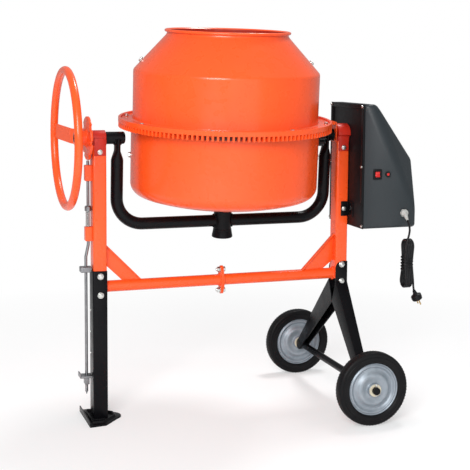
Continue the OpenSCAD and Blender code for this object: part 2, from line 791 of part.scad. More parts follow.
// A folded sheet over the pinion, welded to the trunnion so that it turns with the yoke
module pinion_guard() {
    x0 = drum_x + ring_r + 3;
    x1 = right_bracket_x[0] - 4;
    half = 27;
    color(paint) leaning() difference() {
        union() {
            block([x0, -half, 47], [x1, half, 50]);
            block([x0, -half, 38], [x1, 3 - half, 47]);
            block([x1 - 3, -half, -24], [x1, half, 47]);
        }
        bar_x(x1 - 5, x1 + 2, trunnion_r + 0.02);
    }
}

module drive_shaft() {
    color(zinc) leaning() bar_x(pinion_x0 - 6, plate_x + 44, shaft_r);
}

module pulley(r, groove_r, bore_r) {
    half = belt_w / 2 + 0.6;
    rotate([0, 90, 0]) rotate_extrude() polygon([
        [bore_r, -half - 3], [r, -half - 3], [r, -half], [groove_r, -half],
        [groove_r, half], [r, half], [r, half + 3], [bore_r, half + 3]]);
}

module drive_pulley() {
    color(slate) leaning() translate([belt_x, 0, 0]) pulley(pulley_r, big_groove_r, shaft_r + 0.02);
}

module belt_loop(extra) {
    hull() {
        circle(big_groove_r + extra, $fn = 96);
        translate([pivot_z - motor_z, motor_y]) circle(small_groove_r + extra, $fn = 64);
    }
}

module drive_belt() {
    color(rubber) translate([belt_x - belt_w / 2, 0, pivot_z]) rotate([0, 90, 0]) linear_extrude(belt_w)
        difference() {
            belt_loop(6);
            belt_loop(0.6);
        }
}

motor_r = 58;
motor_x = [450, 586];

module motor_pulley() {
    color(slate) translate([0, motor_y, motor_z]) {
        translate([belt_x, 0, 0]) pulley(small_pulley_r, small_groove_r, 6.5);
        bar_x(belt_x - 12, motor_x[0] + 30, 7);
    }
}

// A finned motor body with a fan cowl
module motor() {
    color(slate) difference() {
        translate([0, motor_y, motor_z]) {
            bar_x(motor_x[0], motor_x[1], motor_r - 4);
            bar_x(motor_x[1] - 26, motor_x[1], motor_r);
            bar_x(motor_x[0], motor_x[0] + 12, motor_r);
            for (i = [0:23]) rotate([15 * i, 0, 0])
                block([motor_x[0] + 12, -1.2, motor_r - 6], [motor_x[1] - 26, 1.2, motor_r - 1]);
        }
        translate([0, motor_y, motor_z]) bar_x(motor_x[0] - 1, motor_x[0] + 31, 7 + running);
    }
}

// A bent plate that hangs the motor from the back plate
module motor_bracket() {
    color(slate) difference() {
        union() {
            block([plate_x + 40, motor_y - 70, motor_z - 62], [motor_x[0] - 1, motor_y + 70, motor_z + 62]);
            for (s = [-1, 1]) translate([0, motor_y + s * 68, 0])
                block([plate_x + 3, -2, motor_z - 62], [motor_x[0] - 1, 2, motor_z + 62]);
            block([plate_x + 40, motor_y - 20, motor_z - 68], [motor_x[0] + 60, motor_y + 20, motor_z - 60]);
        }
        translate([0, motor_y, motor_z]) bar_x(plate_x, motor_x[0] + 20, 12);
    }
}

// A plate on the post's front, folded back along the housing's edge
module housing_bracket() {
    z = [660, 712];
    color(black) difference() {
        block([right_x - 6, -post_d / 2 - 3, z[0]], [plate_x, -post_d / 2, z[1]]);
        translate([right_x + 6, -post_d / 2, (z[0] + z[1]) / 2]) rotate([90, 0, 0])
            cylinder(h = 20, r = 4.2, center = true);
    }
    color(black) block([plate_x - 3, -post_d / 2 - 43, z[0]], [plate_x, -post_d / 2 - 3, z[1]]);
    color(zinc) translate([right_x + 6, -post_d / 2 - 3, (z[0] + z[1]) / 2]) rotate([90, 0, 0])
        hex_bolt(8, 3);
}

// ---- housing -------------------------------------------------------------------------------

// The back plate has a raised border and an opening for the bearing
module housing_back() {
    color(black) difference() {
        union() {
            block([plate_x, housing_front + 1, housing_z0], [plate_x + 3, housing_rear - 1, housing_z1]);
            block([plate_x - 4, housing_front + 1, housing_z0 + 90],
                  [plate_x, housing_front + 17, housing_z1]);
            block([plate_x - 4, housing_rear - 17, housing_z0], [plate_x, housing_rear - 1, housing_z1]);
            block([plate_x - 4, housing_front + 17, housing_z1 - 16],
                  [plate_x, housing_rear - 17, housing_z1]);
        }
        at_pivot() bar_x(plate_x - 10, plate_x + 10, journal_r + 3);
        for (p = screw_places) translate([0, p[0], p[1]]) bar_x(plate_x - 10, plate_x + 10, 2.6, $fn = 24);
    }
}

screw_places = [
    for (y = [housing_front + 9, housing_rear - 9])
        for (z = [housing_z0 + 10, (housing_z0 + housing_z1) / 2, housing_z1 - 8]) [y, z]
];

module housing_screws() {
    color(zinc) for (p = screw_places) translate([plate_x - (p[1] < housing_z0 + 50 && p[0] < 0 ? 0 : 4), p[0], p[1]])
        rotate([0, -90, 0]) hex_bolt(5, 6);
}

shell_r = 12;
cover_t = 3;

// Corner balls of the cover; inset moves them inwards for the hollow
module cover_hull(inset) {
    r = shell_r - inset;
    x0 = plate_x + 3;
    f = housing_front + shell_r;
    b = housing_rear - shell_r;
    low = housing_z0 + shell_r;
    high = housing_z1 - shell_r;
    top_x = 449.5;
    out_x = 606.5 - shell_r;
    hull() {
        for (y = [f, b]) for (z = [low, high]) translate([x0 - 20, y, z]) bar_x(0, 30, r, $fn = hull_fn);
        for (y = [f, b]) {
            translate([top_x - shell_r, y, high]) sphere(r, $fn = hull_fn);
            translate([out_x, y, low]) sphere(r, $fn = hull_fn);
            translate([out_x, y, low + 62]) sphere(r, $fn = hull_fn);
        }
        for (y = [f + 42, b - 42]) {
            translate([out_x, y, 863]) sphere(r, $fn = hull_fn);
        }
    }
}

module housing_cover() {
    color(slate) difference() {
        cover_hull(0);
        cover_hull(cover_t);
        block([plate_x - 60, -300, 500], [plate_x + 3, 300, 1200]);
        translate(switch_pos) block([-11, -2, -13], [11, 20, 13]);
        translate(button_pos) rotate([90, 0, 0]) cylinder(h = 40, r = 8, center = true);
        translate(gland_pos) rotate([90, 0, 0]) cylinder(h = 40, r = 9.2, center = true);
    }
}

// The frame stands proud of the cover and its sleeve holds the rocker
module switch_frame() {
    color(black) translate(switch_pos) difference() {
        union() {
            block([-16, -5, -18], [16, 0, 18]);
            block([-10.8, 0, -12.8], [10.8, 16, 12.8]);
        }
        block([-8.5, -6, -10.5], [8.5, 12, 10.5]);
        bar_x(-9.8, 9.8, 2.05);
    }
}

// A rocker that tips on two small pins
module switch_rocker() {
    color([0.8, 0.08, 0.06]) translate(switch_pos) {
        rotate([0, 90, 0]) linear_extrude(16, center = true)
            polygon([[-9, -6.5], [0, -4.6], [9, -8.5], [9.2, -1], [4, 6], [-4, 6], [-9.2, -1]]);
        bar_x(-9.6, 9.6, 2);
    }
}

module reset_button() {
    color(black) translate(button_pos) rotate([90, 0, 0]) {
        translate([0, 0, -16]) cylinder(h = 26, r = 7.4);
        translate([0, 0, 4.5]) cylinder(h = 3.5, r = 9.5);
    }
}

// Nut of the gland on the cover, and its boot bent down towards the cord
module cable_gland() {
    color([0.75, 0.75, 0.73]) translate(gland_pos) rotate([90, 0, 0]) {
        translate([0, 0, -10]) cylinder(h = 14, r = 9);
        cylinder(h = 7, r = 15, $fn = 6);
        translate([0, 0, 7]) cylinder(h = 7, r = 12.5);
        translate([0, 0, 8]) rotate([45, 0, 0]) cylinder(h = 32, r1 = 9, r2 = 5);
    }
}

// ---- cord ----------------------------------------------------------------------------------

// Points of a ring of n sides round p, square to direction d
function cord_ring(p, d, r, n) =
    let (w = d / norm(d), u0 = cross(w, [0, 1, 0.13]), u = u0 / norm(u0), v = cross(w, u))
    [for (i = [0:n - 1]) p + r * (u * cos(360 * i / n) + v * sin(360 * i / n))];

// A tube swept along a route
module cord_tube(route, d, n = 8) {
    last = len(route) - 1;
    rings = [for (i = [0:last])
        cord_ring(route[i], route[min(i + 1, last)] - route[max(i - 1, 0)], d / 2, n)];
    polyhedron(
        points = [for (ring = rings) each ring],
        faces = concat(
            [[for (i = [0:n - 1]) i]],
            [for (k = [0:last - 1]) for (i = [0:n - 1]) let (j = (i + 1) % n)
                each [[k * n + i, (k + 1) * n + i, k * n + j], [k * n + j, (k + 1) * n + i, (k + 1) * n + j]]],
            [[for (i = [n - 1:-1:0]) last * n + i]]));
}

// The lead down from the gland and the tail down to the plug
module power_cord() {
    color(rubber) {
        cord_tube(lead_route, cord_d);
        cord_tube(tail_route, cord_d);
    }
}

// The outer shape of the hank that the rest of the cord is wound into
module cord_hank() {
    color(rubber) translate(hank_pos) rotate([90, 0, 90]) linear_extrude(hank_depth, center = true)
        hull() for (s = [-1, 1]) translate([0, s * hank_run]) circle(hank_fold + cord_d / 2, $fn = 48);
}

module power_plug() {
    color(black) translate(plug_pos) rotate([0, plug_turn, 0]) {
        cylinder(h = 14, r1 = 5.5, r2 = 9);
        translate([0, 0, 14]) cylinder(h = 12, r1 = 12, r2 = 18);
        translate([0, 0, 26]) cylinder(h = 10, r = 18);
        for (s = [-1, 1]) translate([0, s * 9.5, 36]) cylinder(h = 19, r = 2.4);
    }
}

left_post();
left_leg();
foot_plate();
right_post();
front_leg();
rear_leg();
stand_fasteners();
crossbar_left();
crossbar_right();
left_brace();
right_brace();
axle();
front_wheel_disc();
front_tyre();
rear_wheel_disc();
rear_tyre();
left_pivot_bracket();
right_pivot_bracket();
housing_bracket();
left_trunnion();
right_trunnion();
left_yoke_arm();
right_yoke_arm();
yoke_hub();
hub_bearings();
hub_cap();
handwheel_rim();
handwheel_strap();
handwheel_nut();
locking_disc();
lock_rod();
lock_pedal();
lock_spring();
lock_guides();
drum_pan();
drum_cone();
ring_gear();
ring_bolts();
mixing_blades();
blade_bolts();
spindle();
pinion();
pinion_guard();
drive_shaft();
drive_pulley();
drive_belt();
motor_pulley();
motor();
motor_bracket();
housing_back();
housing_cover();
housing_screws();
switch_frame();
switch_rocker();
reset_button();
cable_gland();
power_cord();
cord_hank();
power_plug();
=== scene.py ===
"""Looks of a tilting-drum concrete mixer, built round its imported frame.

Sizes are in millimetres and become metres when a piece is made. The drum, its ring gear and the
yoke lean a little out of upright, so their outlines are drawn along the drum's own axis and then
placed by one matrix, which comes from the frame's joints.
"""
import json
import logging
import math
from dataclasses import dataclass
from enum import Enum
from typing import Callable, Iterable, Sequence

import bmesh
import bpy
from mathutils import Matrix, Quaternion, Vector


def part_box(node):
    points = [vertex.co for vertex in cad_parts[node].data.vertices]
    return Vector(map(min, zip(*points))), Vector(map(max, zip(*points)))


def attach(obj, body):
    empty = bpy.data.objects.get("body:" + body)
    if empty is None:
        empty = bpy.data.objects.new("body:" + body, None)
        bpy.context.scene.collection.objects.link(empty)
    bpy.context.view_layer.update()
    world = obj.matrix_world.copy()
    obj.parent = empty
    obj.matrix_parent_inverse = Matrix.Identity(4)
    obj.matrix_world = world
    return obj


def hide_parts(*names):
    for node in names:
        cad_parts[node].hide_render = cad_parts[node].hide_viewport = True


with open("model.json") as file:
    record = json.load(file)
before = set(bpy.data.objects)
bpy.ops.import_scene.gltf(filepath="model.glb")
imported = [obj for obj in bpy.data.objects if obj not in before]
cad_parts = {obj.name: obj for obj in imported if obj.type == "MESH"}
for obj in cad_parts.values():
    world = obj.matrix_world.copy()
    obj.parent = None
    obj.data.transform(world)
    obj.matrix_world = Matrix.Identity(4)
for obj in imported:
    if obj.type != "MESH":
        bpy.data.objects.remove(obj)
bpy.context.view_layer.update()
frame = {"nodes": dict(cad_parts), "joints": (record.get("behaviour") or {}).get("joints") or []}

log = logging.getLogger("mixer")

MM = 0.001
SHARP_EDGE = math.radians(30)  # edges that turn more than this get their rounding
Point2 = tuple[float, float]
Point3 = tuple[float, float, float]


# ---- frame ---------------------------------------------------------------------------------


def joint(name: str) -> dict:
    """Return the frame's row for one joint.

    Args:
        name: The joint's name.

    Returns:
        The joint's row, with its place and axis.
    """
    return next(row for row in frame["joints"] if row["name"] == name)


def box_mm(node: str) -> tuple[Vector, Vector]:
    """Return a node's lowest and highest corners in millimetres.

    Args:
        node: The node's name.

    Returns:
        The two corners.
    """
    low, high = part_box(node)
    return Vector(low) / MM, Vector(high) / MM


def stand_in_scene(name: str, data: bpy.types.ID) -> bpy.types.Object:
    """Make an object of some data and link it to the scene."""
    made = bpy.data.objects.new(name, data)
    bpy.context.scene.collection.objects.link(made)
    return made


PIVOT = Vector(joint("tilt")["pos_m"]) / MM
DRUM_AXIS = Vector(joint("drum_spin")["axis"]).normalized()
DRUM_POS = Vector(joint("drum_spin")["pos_m"]) / MM
LEAN = math.atan2(-DRUM_AXIS.y, DRUM_AXIS.z)
UPRIGHT = Matrix.Identity(4)
TILTED = Matrix.Translation(PIVOT) @ Matrix.Rotation(LEAN, 4, "X")
IN_DRUM = Matrix.Translation(DRUM_POS) @ Matrix.Rotation(LEAN, 4, "X")
ALONG_X = Matrix.Rotation(math.pi / 2, 4, "Y")
ACROSS_X = ALONG_X @ Matrix.Rotation(math.pi / 2, 4, "Z")
ALONG_Y = Matrix.Rotation(-math.pi / 2, 4, "X")
TOWARDS_FRONT = Matrix.Rotation(math.pi / 2, 4, "X")


# ---- outlines ------------------------------------------------------------------------------


def arc(centre: Point2, radius: float, start: float, end: float, steps: int = 8) -> list[Point2]:
    """Return points along an arc.

    Args:
        centre: Middle of the arc.
        radius: Its radius.
        start: First angle, in degrees.
        end: Last angle, in degrees.
        steps: Number of stretches.

    Returns:
        The points, both ends included.
    """
    angles = [math.radians(start + (end - start) * i / steps) for i in range(steps + 1)]
    return [(centre[0] + radius * math.cos(a), centre[1] + radius * math.sin(a)) for a in angles]


def smooth_path(points: Sequence[Point3], radius: float, steps: int = 10) -> list[Vector]:
    """Round the corners of a path.

    Args:
        points: The path's corners.
        radius: Radius of each bend.
        steps: Stretches in each bend.

    Returns:
        The points of the rounded path.
    """
    corners = [Vector(p) for p in points]
    path = [corners[0]]
    for before, corner, after in zip(corners, corners[1:], corners[2:]):
        a, b = (before - corner).normalized(), (after - corner).normalized()
        turn = math.pi - a.angle(b)
        reach = min(radius * math.tan(turn / 2), 0.49 * (before - corner).length,
                    0.49 * (after - corner).length)
        bend = reach / math.tan(turn / 2)
        middle = corner + (a + b).normalized() * (bend / math.cos(turn / 2))
        first, last = corner + a * reach - middle, corner + b * reach - middle
        spin = first.rotation_difference(last)
        for i in range(steps + 1):
            path.append(middle + Quaternion().slerp(spin, i / steps) @ first)
    path.append(corners[-1])
    return path


def rounded_rectangle(middle: Point2, half: Point2, corner: float) -> list[Point2]:
    """Return the outline of a rectangle with rounded corners.

    Args:
        middle: Its middle.
        half: Half its two sides.
        corner: Radius of its corners.

    Returns:
        The points of the outline.
    """
    outline: list[Point2] = []
    for sx, sy, start in ((1, 1, 0), (-1, 1, 90), (-1, -1, 180), (1, -1, 270)):
        at = (middle[0] + sx * (half[0] - corner), middle[1] + sy * (half[1] - corner))
        outline += arc(at, corner, start, start + 90, 5)
    return outline


def band_faces(rings: int, n: int, closed: bool = False) -> list[tuple[int, ...]]:
    """Return the faces between rings of points.

    Args:
        rings: Number of rings.
        n: Points in each ring.
        closed: True where the last ring meets the first; otherwise both ends get a cap.

    Returns:
        The corner numbers of each face.
    """
    faces: list[tuple[int, ...]] = []
    for k in range(rings if closed else rings - 1):
        a, b = k * n, (k + 1) % rings * n
        faces += [(a + i, a + (i + 1) % n, b + (i + 1) % n, b + i) for i in range(n)]
    if not closed:
        faces += [tuple(range(n)), tuple(range((rings - 1) * n, rings * n))]
    return faces


def circle_profile(radius: float, steps: int = 24) -> list[Point2]:
    """Return the outline of a circle about the middle of a tube."""
    return arc((0, 0), radius, 0, 360 - 360 / steps, steps - 1)


# ---- shapes --------------------------------------------------------------------------------


class Shape:
    """A mesh in the making, in millimetres, to which solids are added."""

    def __init__(self) -> None:
        """Start an empty mesh."""
        self.bm = bmesh.new()

    def add(self, points: Sequence[Vector], faces: Iterable[Sequence[int]], place: Matrix,
            bevel: float = 0.0, bevel_steps: int = 2) -> "Shape":
        """Add one closed solid.

        Args:
            points: The solid's corners.
            faces: Corner numbers of each face.
            place: Where the solid goes.
            bevel: Width of the rounding on its sharp edges.
            bevel_steps: Segments of that rounding.

        Returns:
            The shape itself.
        """
        part = bmesh.new()
        verts = [part.verts.new(p) for p in points]
        for f in faces:
            corners = list(dict.fromkeys(f))
            if len(corners) > 2:
                part.faces.new([verts[i] for i in corners])
        bmesh.ops.recalc_face_normals(part, faces=part.faces)
        if bevel:
            sharp = [e for e in part.edges if len(e.link_faces) == 2
                     and e.calc_face_angle(0) > SHARP_EDGE]
            bmesh.ops.bevel(part, geom=sharp, offset=bevel, segments=bevel_steps, profile=0.5,
                            affect="EDGES", clamp_overlap=True)
        bmesh.ops.transform(part, matrix=place, verts=part.verts)
        mesh = bpy.data.meshes.new("part")
        part.to_mesh(mesh)
        part.free()
        self.bm.from_mesh(mesh)
        bpy.data.meshes.remove(mesh)
        return self

    def lathe(self, profile: Sequence[Point2], place: Matrix = UPRIGHT, steps: int = 96) -> "Shape":
        """Turn a closed profile of radius and height round an axis.

        Args:
            profile: The profile's points. A radius of 0 lies on the axis.
            place: Where the turned solid goes. The axis is its Z.
            steps: Segments round the axis.

        Returns:
            The shape itself.
        """
        points: list[Vector] = []
        rows: list[list[int]] = []
        for radius, height in profile:
            if radius < 1e-6:
                rows.append([len(points)] * steps)
                points.append(Vector((0, 0, height)))
                continue
            rows.append(list(range(len(points), len(points) + steps)))
            for i in range(steps):
                a = 2 * math.pi * i / steps
                points.append(Vector((radius * math.cos(a), radius * math.sin(a), height)))
        faces = []
        for k, row in enumerate(rows):
            after = rows[(k + 1) % len(rows)]
            if row[0] == row[1] and after[0] == after[1]:
                continue
            faces += [(row[i], row[(i + 1) % steps], after[(i + 1) % steps], after[i])
                      for i in range(steps)]
        return self.add(points, faces, place)

    def slab(self, outline: Sequence[Point2], low: float, high: float, place: Matrix = UPRIGHT,
             bevel: float = 0.6, bevel_steps: int = 2) -> "Shape":
        """Raise a flat outline into a plate with rounded edges.

        Args:
            outline: The plate's outline.
            low: Height of one face.
            high: Height of the other.
            place: Where the plate goes.
            bevel: Width of the rounding.
            bevel_steps: Segments of the rounding.

        Returns:
            The shape itself.
        """
        points = [Vector((x, y, z)) for z in (low, high) for x, y in outline]
        return self.add(points, band_faces(2, len(outline)), place, bevel, bevel_steps)

    def box(self, low: Sequence[float], high: Sequence[float], place: Matrix = UPRIGHT,
            bevel: float = 0.6, bevel_steps: int = 2) -> "Shape":
        """Add a box with rounded edges.

        Args:
            low: Lowest corner.
            high: Highest corner.
            place: Where the box goes.
            bevel: Width of the rounding.
            bevel_steps: Segments of the rounding.

        Returns:
            The shape itself.
        """
        outline = [(low[0], low[1]), (high[0], low[1]), (high[0], high[1]), (low[0], high[1])]
        return self.slab(outline, low[2], high[2], place, bevel, bevel_steps)

    def sweep(self, path: Sequence[Vector], profile: Sequence[Point2], place: Matrix = UPRIGHT,
              closed: bool = False, up: Vector = Vector((0, 1, 0)),
              size: Callable[[float], Point2] = lambda share: (1.0, 1.0)) -> "Shape":
        """Sweep a profile along a path.

        Args:
            path: Points of the path.
            profile: The outline that is swept, across and along `up`.
            place: Where the swept solid goes.
            closed: True where the path is a loop.
            up: A direction that is never along the path.
            size: Gives how the profile is scaled at a share of the way along.

        Returns:
            The shape itself.
        """
        n, count = len(profile), len(path)
        points: list[Vector] = []
        for k, spot in enumerate(path):
            ahead = path[(k + 1) % count] if closed else path[min(k + 1, count - 1)]
            behind = path[k - 1] if closed or k else path[0]
            along = (ahead - behind).normalized()
            side = along.cross(up).normalized()
            over = side.cross(along).normalized()
            wide, high = size(k / (count - 1))
            points += [spot + side * (x * wide) + over * (y * high) for x, y in profile]
        return self.add(points, band_faces(count, n, closed), place)

    def mesh(self, name: str) -> bpy.types.Mesh:
        """Turn the shape into a mesh in metres.

        Args:
            name: The mesh's name.

        Returns:
            The new mesh.
        """
        bmesh.ops.transform(self.bm, matrix=Matrix.Scale(MM, 4), verts=self.bm.verts)
        mesh = bpy.data.meshes.new(name)
        self.bm.to_mesh(mesh)
        self.bm.free()
        mesh.shade_smooth()
        return mesh


# ---- node trees ----------------------------------------------------------------------------


class NodeTree:
    """A tree of nodes, with short ways to add and link them."""

    def __init__(self, tree: bpy.types.NodeTree) -> None:
        """Take the tree that the nodes stand in."""
        self.tree = tree

    def add(self, kind: str, links: dict | None = None, **settings: object) -> bpy.types.Node:
        """Add a node.

        Args:
            kind: The node's type.
            links: What goes into its inputs, as `wire` takes it.
            settings: The node's own settings.

        Returns:
            The new node.
        """
        node = self.tree.nodes.new(kind)
        for key, value in settings.items():
            setattr(node, key, value)
        return self.wire(node, links or {})

    def wire(self, node: bpy.types.Node | str, links: dict) -> bpy.types.Node:
        """Link or set inputs of a node.

        Args:
            node: The node, or the name of one that is already there.
            links: For each input, by name or number, a value to set or a socket to link, or a
                node for its first output.

        Returns:
            The node.
        """
        node = self.tree.nodes[node] if isinstance(node, str) else node
        for key, value in links.items():
            if isinstance(value, bpy.types.Node):
                value = value.outputs[0]
            if isinstance(value, bpy.types.NodeSocket):
                self.tree.links.new(value, node.inputs[key])
            else:
                node.inputs[key].default_value = value
        return node

    def mapped(self, value: bpy.types.NodeSocket, low: float, high: float, out_low: float,
               out_high: float) -> bpy.types.NodeSocket:
        """Return a value mapped from one range to another."""
        return self.add("ShaderNodeMapRange", {
            "Value": value, "From Min": low, "From Max": high, "To Min": out_low,
            "To Max": out_high}).outputs["Result"]

    def blended(self, amount: bpy.types.NodeSocket, *colours: object) -> bpy.types.NodeSocket:
        """Return a blend of two colours, each a socket or three numbers."""
        first, second = (colour if isinstance(colour, bpy.types.NodeSocket) else (*colour, 1.0)
                         for colour in colours)
        return self.add("ShaderNodeMix", {0: amount, 6: first, 7: second},
                        data_type="RGBA").outputs[2]


# ---- finishes ------------------------------------------------------------------------------


@dataclass(frozen=True)
class Finish:
    """A surface finish, with the detail that the real one shows."""

    name: str  # the material's name
    slot: str  # the record's material slot that it belongs to
    colour: Point3  # main colour, linear
    second: Point3  # colour that the mottling drifts towards
    mottle: float = 0.3  # how strongly it drifts, from 0 to 1
    mottle_scale: float = 9.0  # patches in a metre
    roughness: Point2 = (0.25, 0.4)  # lowest and highest roughness
    metallic: float = 0.0  # 1 for bare metal
    coat: float = 0.0  # weight of a clear coat
    grain: float = 0.05  # height of the fine grain, in millimetres
    grain_scale: float = 900.0  # grains in a metre
    stretch: Point3 = (1.0, 1.0, 1.0)  # how much the grain is drawn out along X, Y and Z
    edge: float = 0.6  # width of the rounded edges that catch the light, in millimetres
    dust: float = 0.0  # share of pale dust
    specular: float = 0.5  # strength of the mirror-like part

    def material(self) -> bpy.types.Material:
        """Return the finish's material, built when it is first asked for."""
        found = bpy.data.materials.get(self.name)
        if found:
            return found
        made = bpy.data.materials.new(self.name)
        made.use_nodes = True
        tree = NodeTree(made.node_tree)
        spot = tree.add("ShaderNodeTexCoord").outputs["Object"]
        drawn = tree.add("ShaderNodeMapping", {"Vector": spot, "Scale": self.stretch}).outputs[0]
        patches, grains, blotches = (
            tree.add("ShaderNodeTexNoise", {"Vector": where, "Scale": scale, "Detail": detail})
            .outputs["Fac"] for where, scale, detail in (
                (spot, self.mottle_scale, 5.0), (drawn, self.grain_scale, 3.0),
                (drawn, self.grain_scale / 14, 6.0)))
        amount = tree.mapped(patches, 0.35, 0.72, 0.0, self.mottle)
        tint = tree.blended(amount, self.colour, self.second)
        if self.dust:
            settled = tree.mapped(blotches, 0.56, 0.78, 0.0, self.dust)
            tint = tree.blended(settled, tint, (0.42, 0.40, 0.37))
        rounded = tree.add("ShaderNodeBevel", {"Radius": self.edge * MM}, samples=4)
        bump = tree.add("ShaderNodeBump", {"Strength": 1.0, "Distance": self.grain * MM,
                                           "Height": grains, "Normal": rounded})
        shader = tree.wire("Principled BSDF", {
            "Metallic": self.metallic, "Coat Weight": self.coat, "Coat Roughness": 0.14,
            "Specular IOR Level": self.specular, "Base Color": tint,
            "Roughness": tree.mapped(blotches, 0.3, 0.7, *self.roughness), "Normal": bump})
        self.extra(shader)
        return made

    def extra(self, shader: bpy.types.Node) -> None:
        """Add what only this finish has. The plain finish adds nothing."""


@dataclass(frozen=True)
class GlowPlastic(Finish):
    """Coloured plastic that lets a little light through."""

    def extra(self, shader: bpy.types.Node) -> None:
        """Let light into the plastic."""
        shader.inputs["Subsurface Weight"].default_value = 0.25
        shader.inputs["Subsurface Scale"].default_value = 0.003


ORANGE = Finish("orange_powder_coat", "orange_paint", (0.90, 0.092, 0.014), (0.80, 0.072, 0.010),
                mottle=0.3, roughness=(0.24, 0.34), coat=0.2, grain=0.03, grain_scale=420, edge=1.0,
                specular=0.35)
RED = Finish("red_primer_coat", "red_paint", (0.50, 0.020, 0.008), (0.36, 0.014, 0.006), mottle=0.5,
             roughness=(0.34, 0.5), coat=0.1, grain=0.05, grain_scale=420, edge=1.0, specular=0.3)
INNER = Finish("drum_inside_coat", "red_paint", (0.50, 0.024, 0.010), (0.33, 0.018, 0.009),
               mottle=0.6, roughness=(0.4, 0.6), coat=0.05, grain=0.06, grain_scale=300, dust=0.08)
BLACK = Finish("black_powder_coat", "black_paint", (0.0035, 0.0035, 0.0045), (0.006, 0.006, 0.007),
               mottle=0.4, roughness=(0.24, 0.34), coat=0.02, specular=0.12, grain=0.03,
               grain_scale=420, edge=1.0)
ZINC = Finish("bright_zinc", "zinc", (0.66, 0.67, 0.66), (0.55, 0.56, 0.50), mottle=0.6,
              mottle_scale=60, roughness=(0.22, 0.4), metallic=1.0, grain=0.02, grain_scale=1500,
              edge=0.5)
STEEL = Finish("drawn_steel", "bare_steel", (0.30, 0.30, 0.31), (0.20, 0.20, 0.21), mottle=0.6,
               mottle_scale=30, roughness=(0.28, 0.46), metallic=1.0, grain=0.02, grain_scale=900,
               stretch=(1.0, 1.0, 0.06))
IRON = Finish("cast_iron_skin", "bare_steel", (0.11, 0.11, 0.115), (0.07, 0.07, 0.07), mottle=0.7,
              mottle_scale=40, roughness=(0.45, 0.62), metallic=1.0, grain=0.08, grain_scale=700)
GALVANISED = Finish("galvanised_sheet", "galvanised", (0.27, 0.31, 0.35), (0.36, 0.40, 0.44),
                    mottle=0.8, mottle_scale=45, roughness=(0.42, 0.55), metallic=0.5, grain=0.015,
                    grain_scale=260, edge=1.0)
TYRE = Finish("solid_tyre_rubber", "tyre_rubber", (0.006, 0.006, 0.007), (0.011, 0.011, 0.011),
              mottle=0.6, mottle_scale=25, roughness=(0.36, 0.5), grain=0.05, grain_scale=1300,
              specular=0.12)
BELT = Finish("worn_belt_rubber", "belt_rubber", (0.020, 0.020, 0.020), (0.034, 0.034, 0.034),
              mottle=0.5, roughness=(0.55, 0.7), grain=0.05, grain_scale=1200)
SLATE = Finish("moulded_slate", "slate_plastic", (0.022, 0.028, 0.032), (0.029, 0.036, 0.041),
               mottle=0.4, roughness=(0.36, 0.46), grain=0.05, grain_scale=1500, edge=1.2,
               specular=0.3)
# painted shade: a near-black copy of the slate plastic, so that the back plate's side reads as
# shaded
SHADED_PANEL = Finish("painted_shade_panel", "slate_plastic", (0.005, 0.006, 0.007), (0.008, 0.009, 0.010),
               mottle=0.4, roughness=(0.36, 0.48), grain=0.04, grain_scale=900, edge=1.0,
               specular=0.12)
# painted shade: a dark band at the ring's tooth roots stands in for the shade in the gaps between
# the teeth
ROOT_SHADE = Finish("painted_shade_roots", "orange_paint", (0.075, 0.008, 0.004), (0.03, 0.006, 0.004),
                mottle=0.6, mottle_scale=40, roughness=(0.4, 0.6), grain=0.05, grain_scale=600)
BLACK_PLASTIC = Finish("moulded_black", "black_plastic", (0.006, 0.006, 0.007),
                       (0.010, 0.010, 0.011), mottle=0.4, roughness=(0.3, 0.42), grain=0.04,
                       grain_scale=1600, specular=0.2)
RED_PLASTIC = GlowPlastic("red_rocker_plastic", "red_plastic", (0.62, 0.012, 0.010),
                          (0.50, 0.008, 0.008), mottle=0.4, roughness=(0.2, 0.3), coat=0.3,
                          grain=0.02, grain_scale=1800)
GREY_NYLON = Finish("grey_nylon", "grey_plastic", (0.46, 0.46, 0.44), (0.38, 0.38, 0.36),
                    mottle=0.5, mottle_scale=60, roughness=(0.4, 0.52), grain=0.05,
                    grain_scale=1400)
CREAM_NYLON = Finish("cream_nylon", "grey_plastic", (0.62, 0.56, 0.42), (0.50, 0.45, 0.34),
                     mottle=0.5, mottle_scale=60, roughness=(0.4, 0.55), grain=0.05,
                     grain_scale=1400)
JACKET = Finish("supple_jacket", "cord_jacket", (0.006, 0.006, 0.007), (0.011, 0.011, 0.012),
                mottle=0.5, mottle_scale=60, roughness=(0.34, 0.48), grain=0.04, grain_scale=1800,
                specular=0.25)
BRASS = Finish("brass_pin", "zinc", (0.62, 0.42, 0.16), (0.50, 0.34, 0.13), mottle=0.5,
               mottle_scale=80, roughness=(0.2, 0.35), metallic=1.0, grain=0.01, grain_scale=1500)


# ---- pieces --------------------------------------------------------------------------------


class Body(Enum):
    """The frame's moving bodies."""

    STAND = "stand"
    TILT = "tilt_frame"
    DRUM = "drum"
    DRIVE = "drive"
    MOTOR = "motor_rotor"
    FRONT_WHEEL = "front_wheel"
    REAR_WHEEL = "rear_wheel"
    LOCK = "lock"
    ROCKER = "rocker"
    BUTTON = "button"


def dress(made: "Shape | bpy.types.Mesh", name: str, body: Body, finish: Finish,
          replaces: Sequence[str] = (), crease: float = 32) -> bpy.types.Object:
    """Make a piece from a shape, give it its finish and let it ride on its body.

    Args:
        made: The piece's shape or mesh, in place.
        name: The piece's name.
        body: The body that it moves with.
        finish: Its finish, where the mesh has none yet.
        replaces: The frame's nodes that it stands for.
        crease: Edges that turn more than this many degrees stay crisp.

    Returns:
        The new piece.
    """
    mesh = made.mesh(name) if isinstance(made, Shape) else made
    piece = stand_in_scene(name, mesh)
    if not mesh.materials:
        mesh.materials.append(finish.material())
    mesh.shade_smooth()
    mesh.set_sharp_from_angle(angle=math.radians(crease))
    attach(piece, body.value)
    if replaces:
        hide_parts(*replaces)
    log.info("%s rides on %s, %d faces", name, body.value, len(mesh.polygons))
    return piece


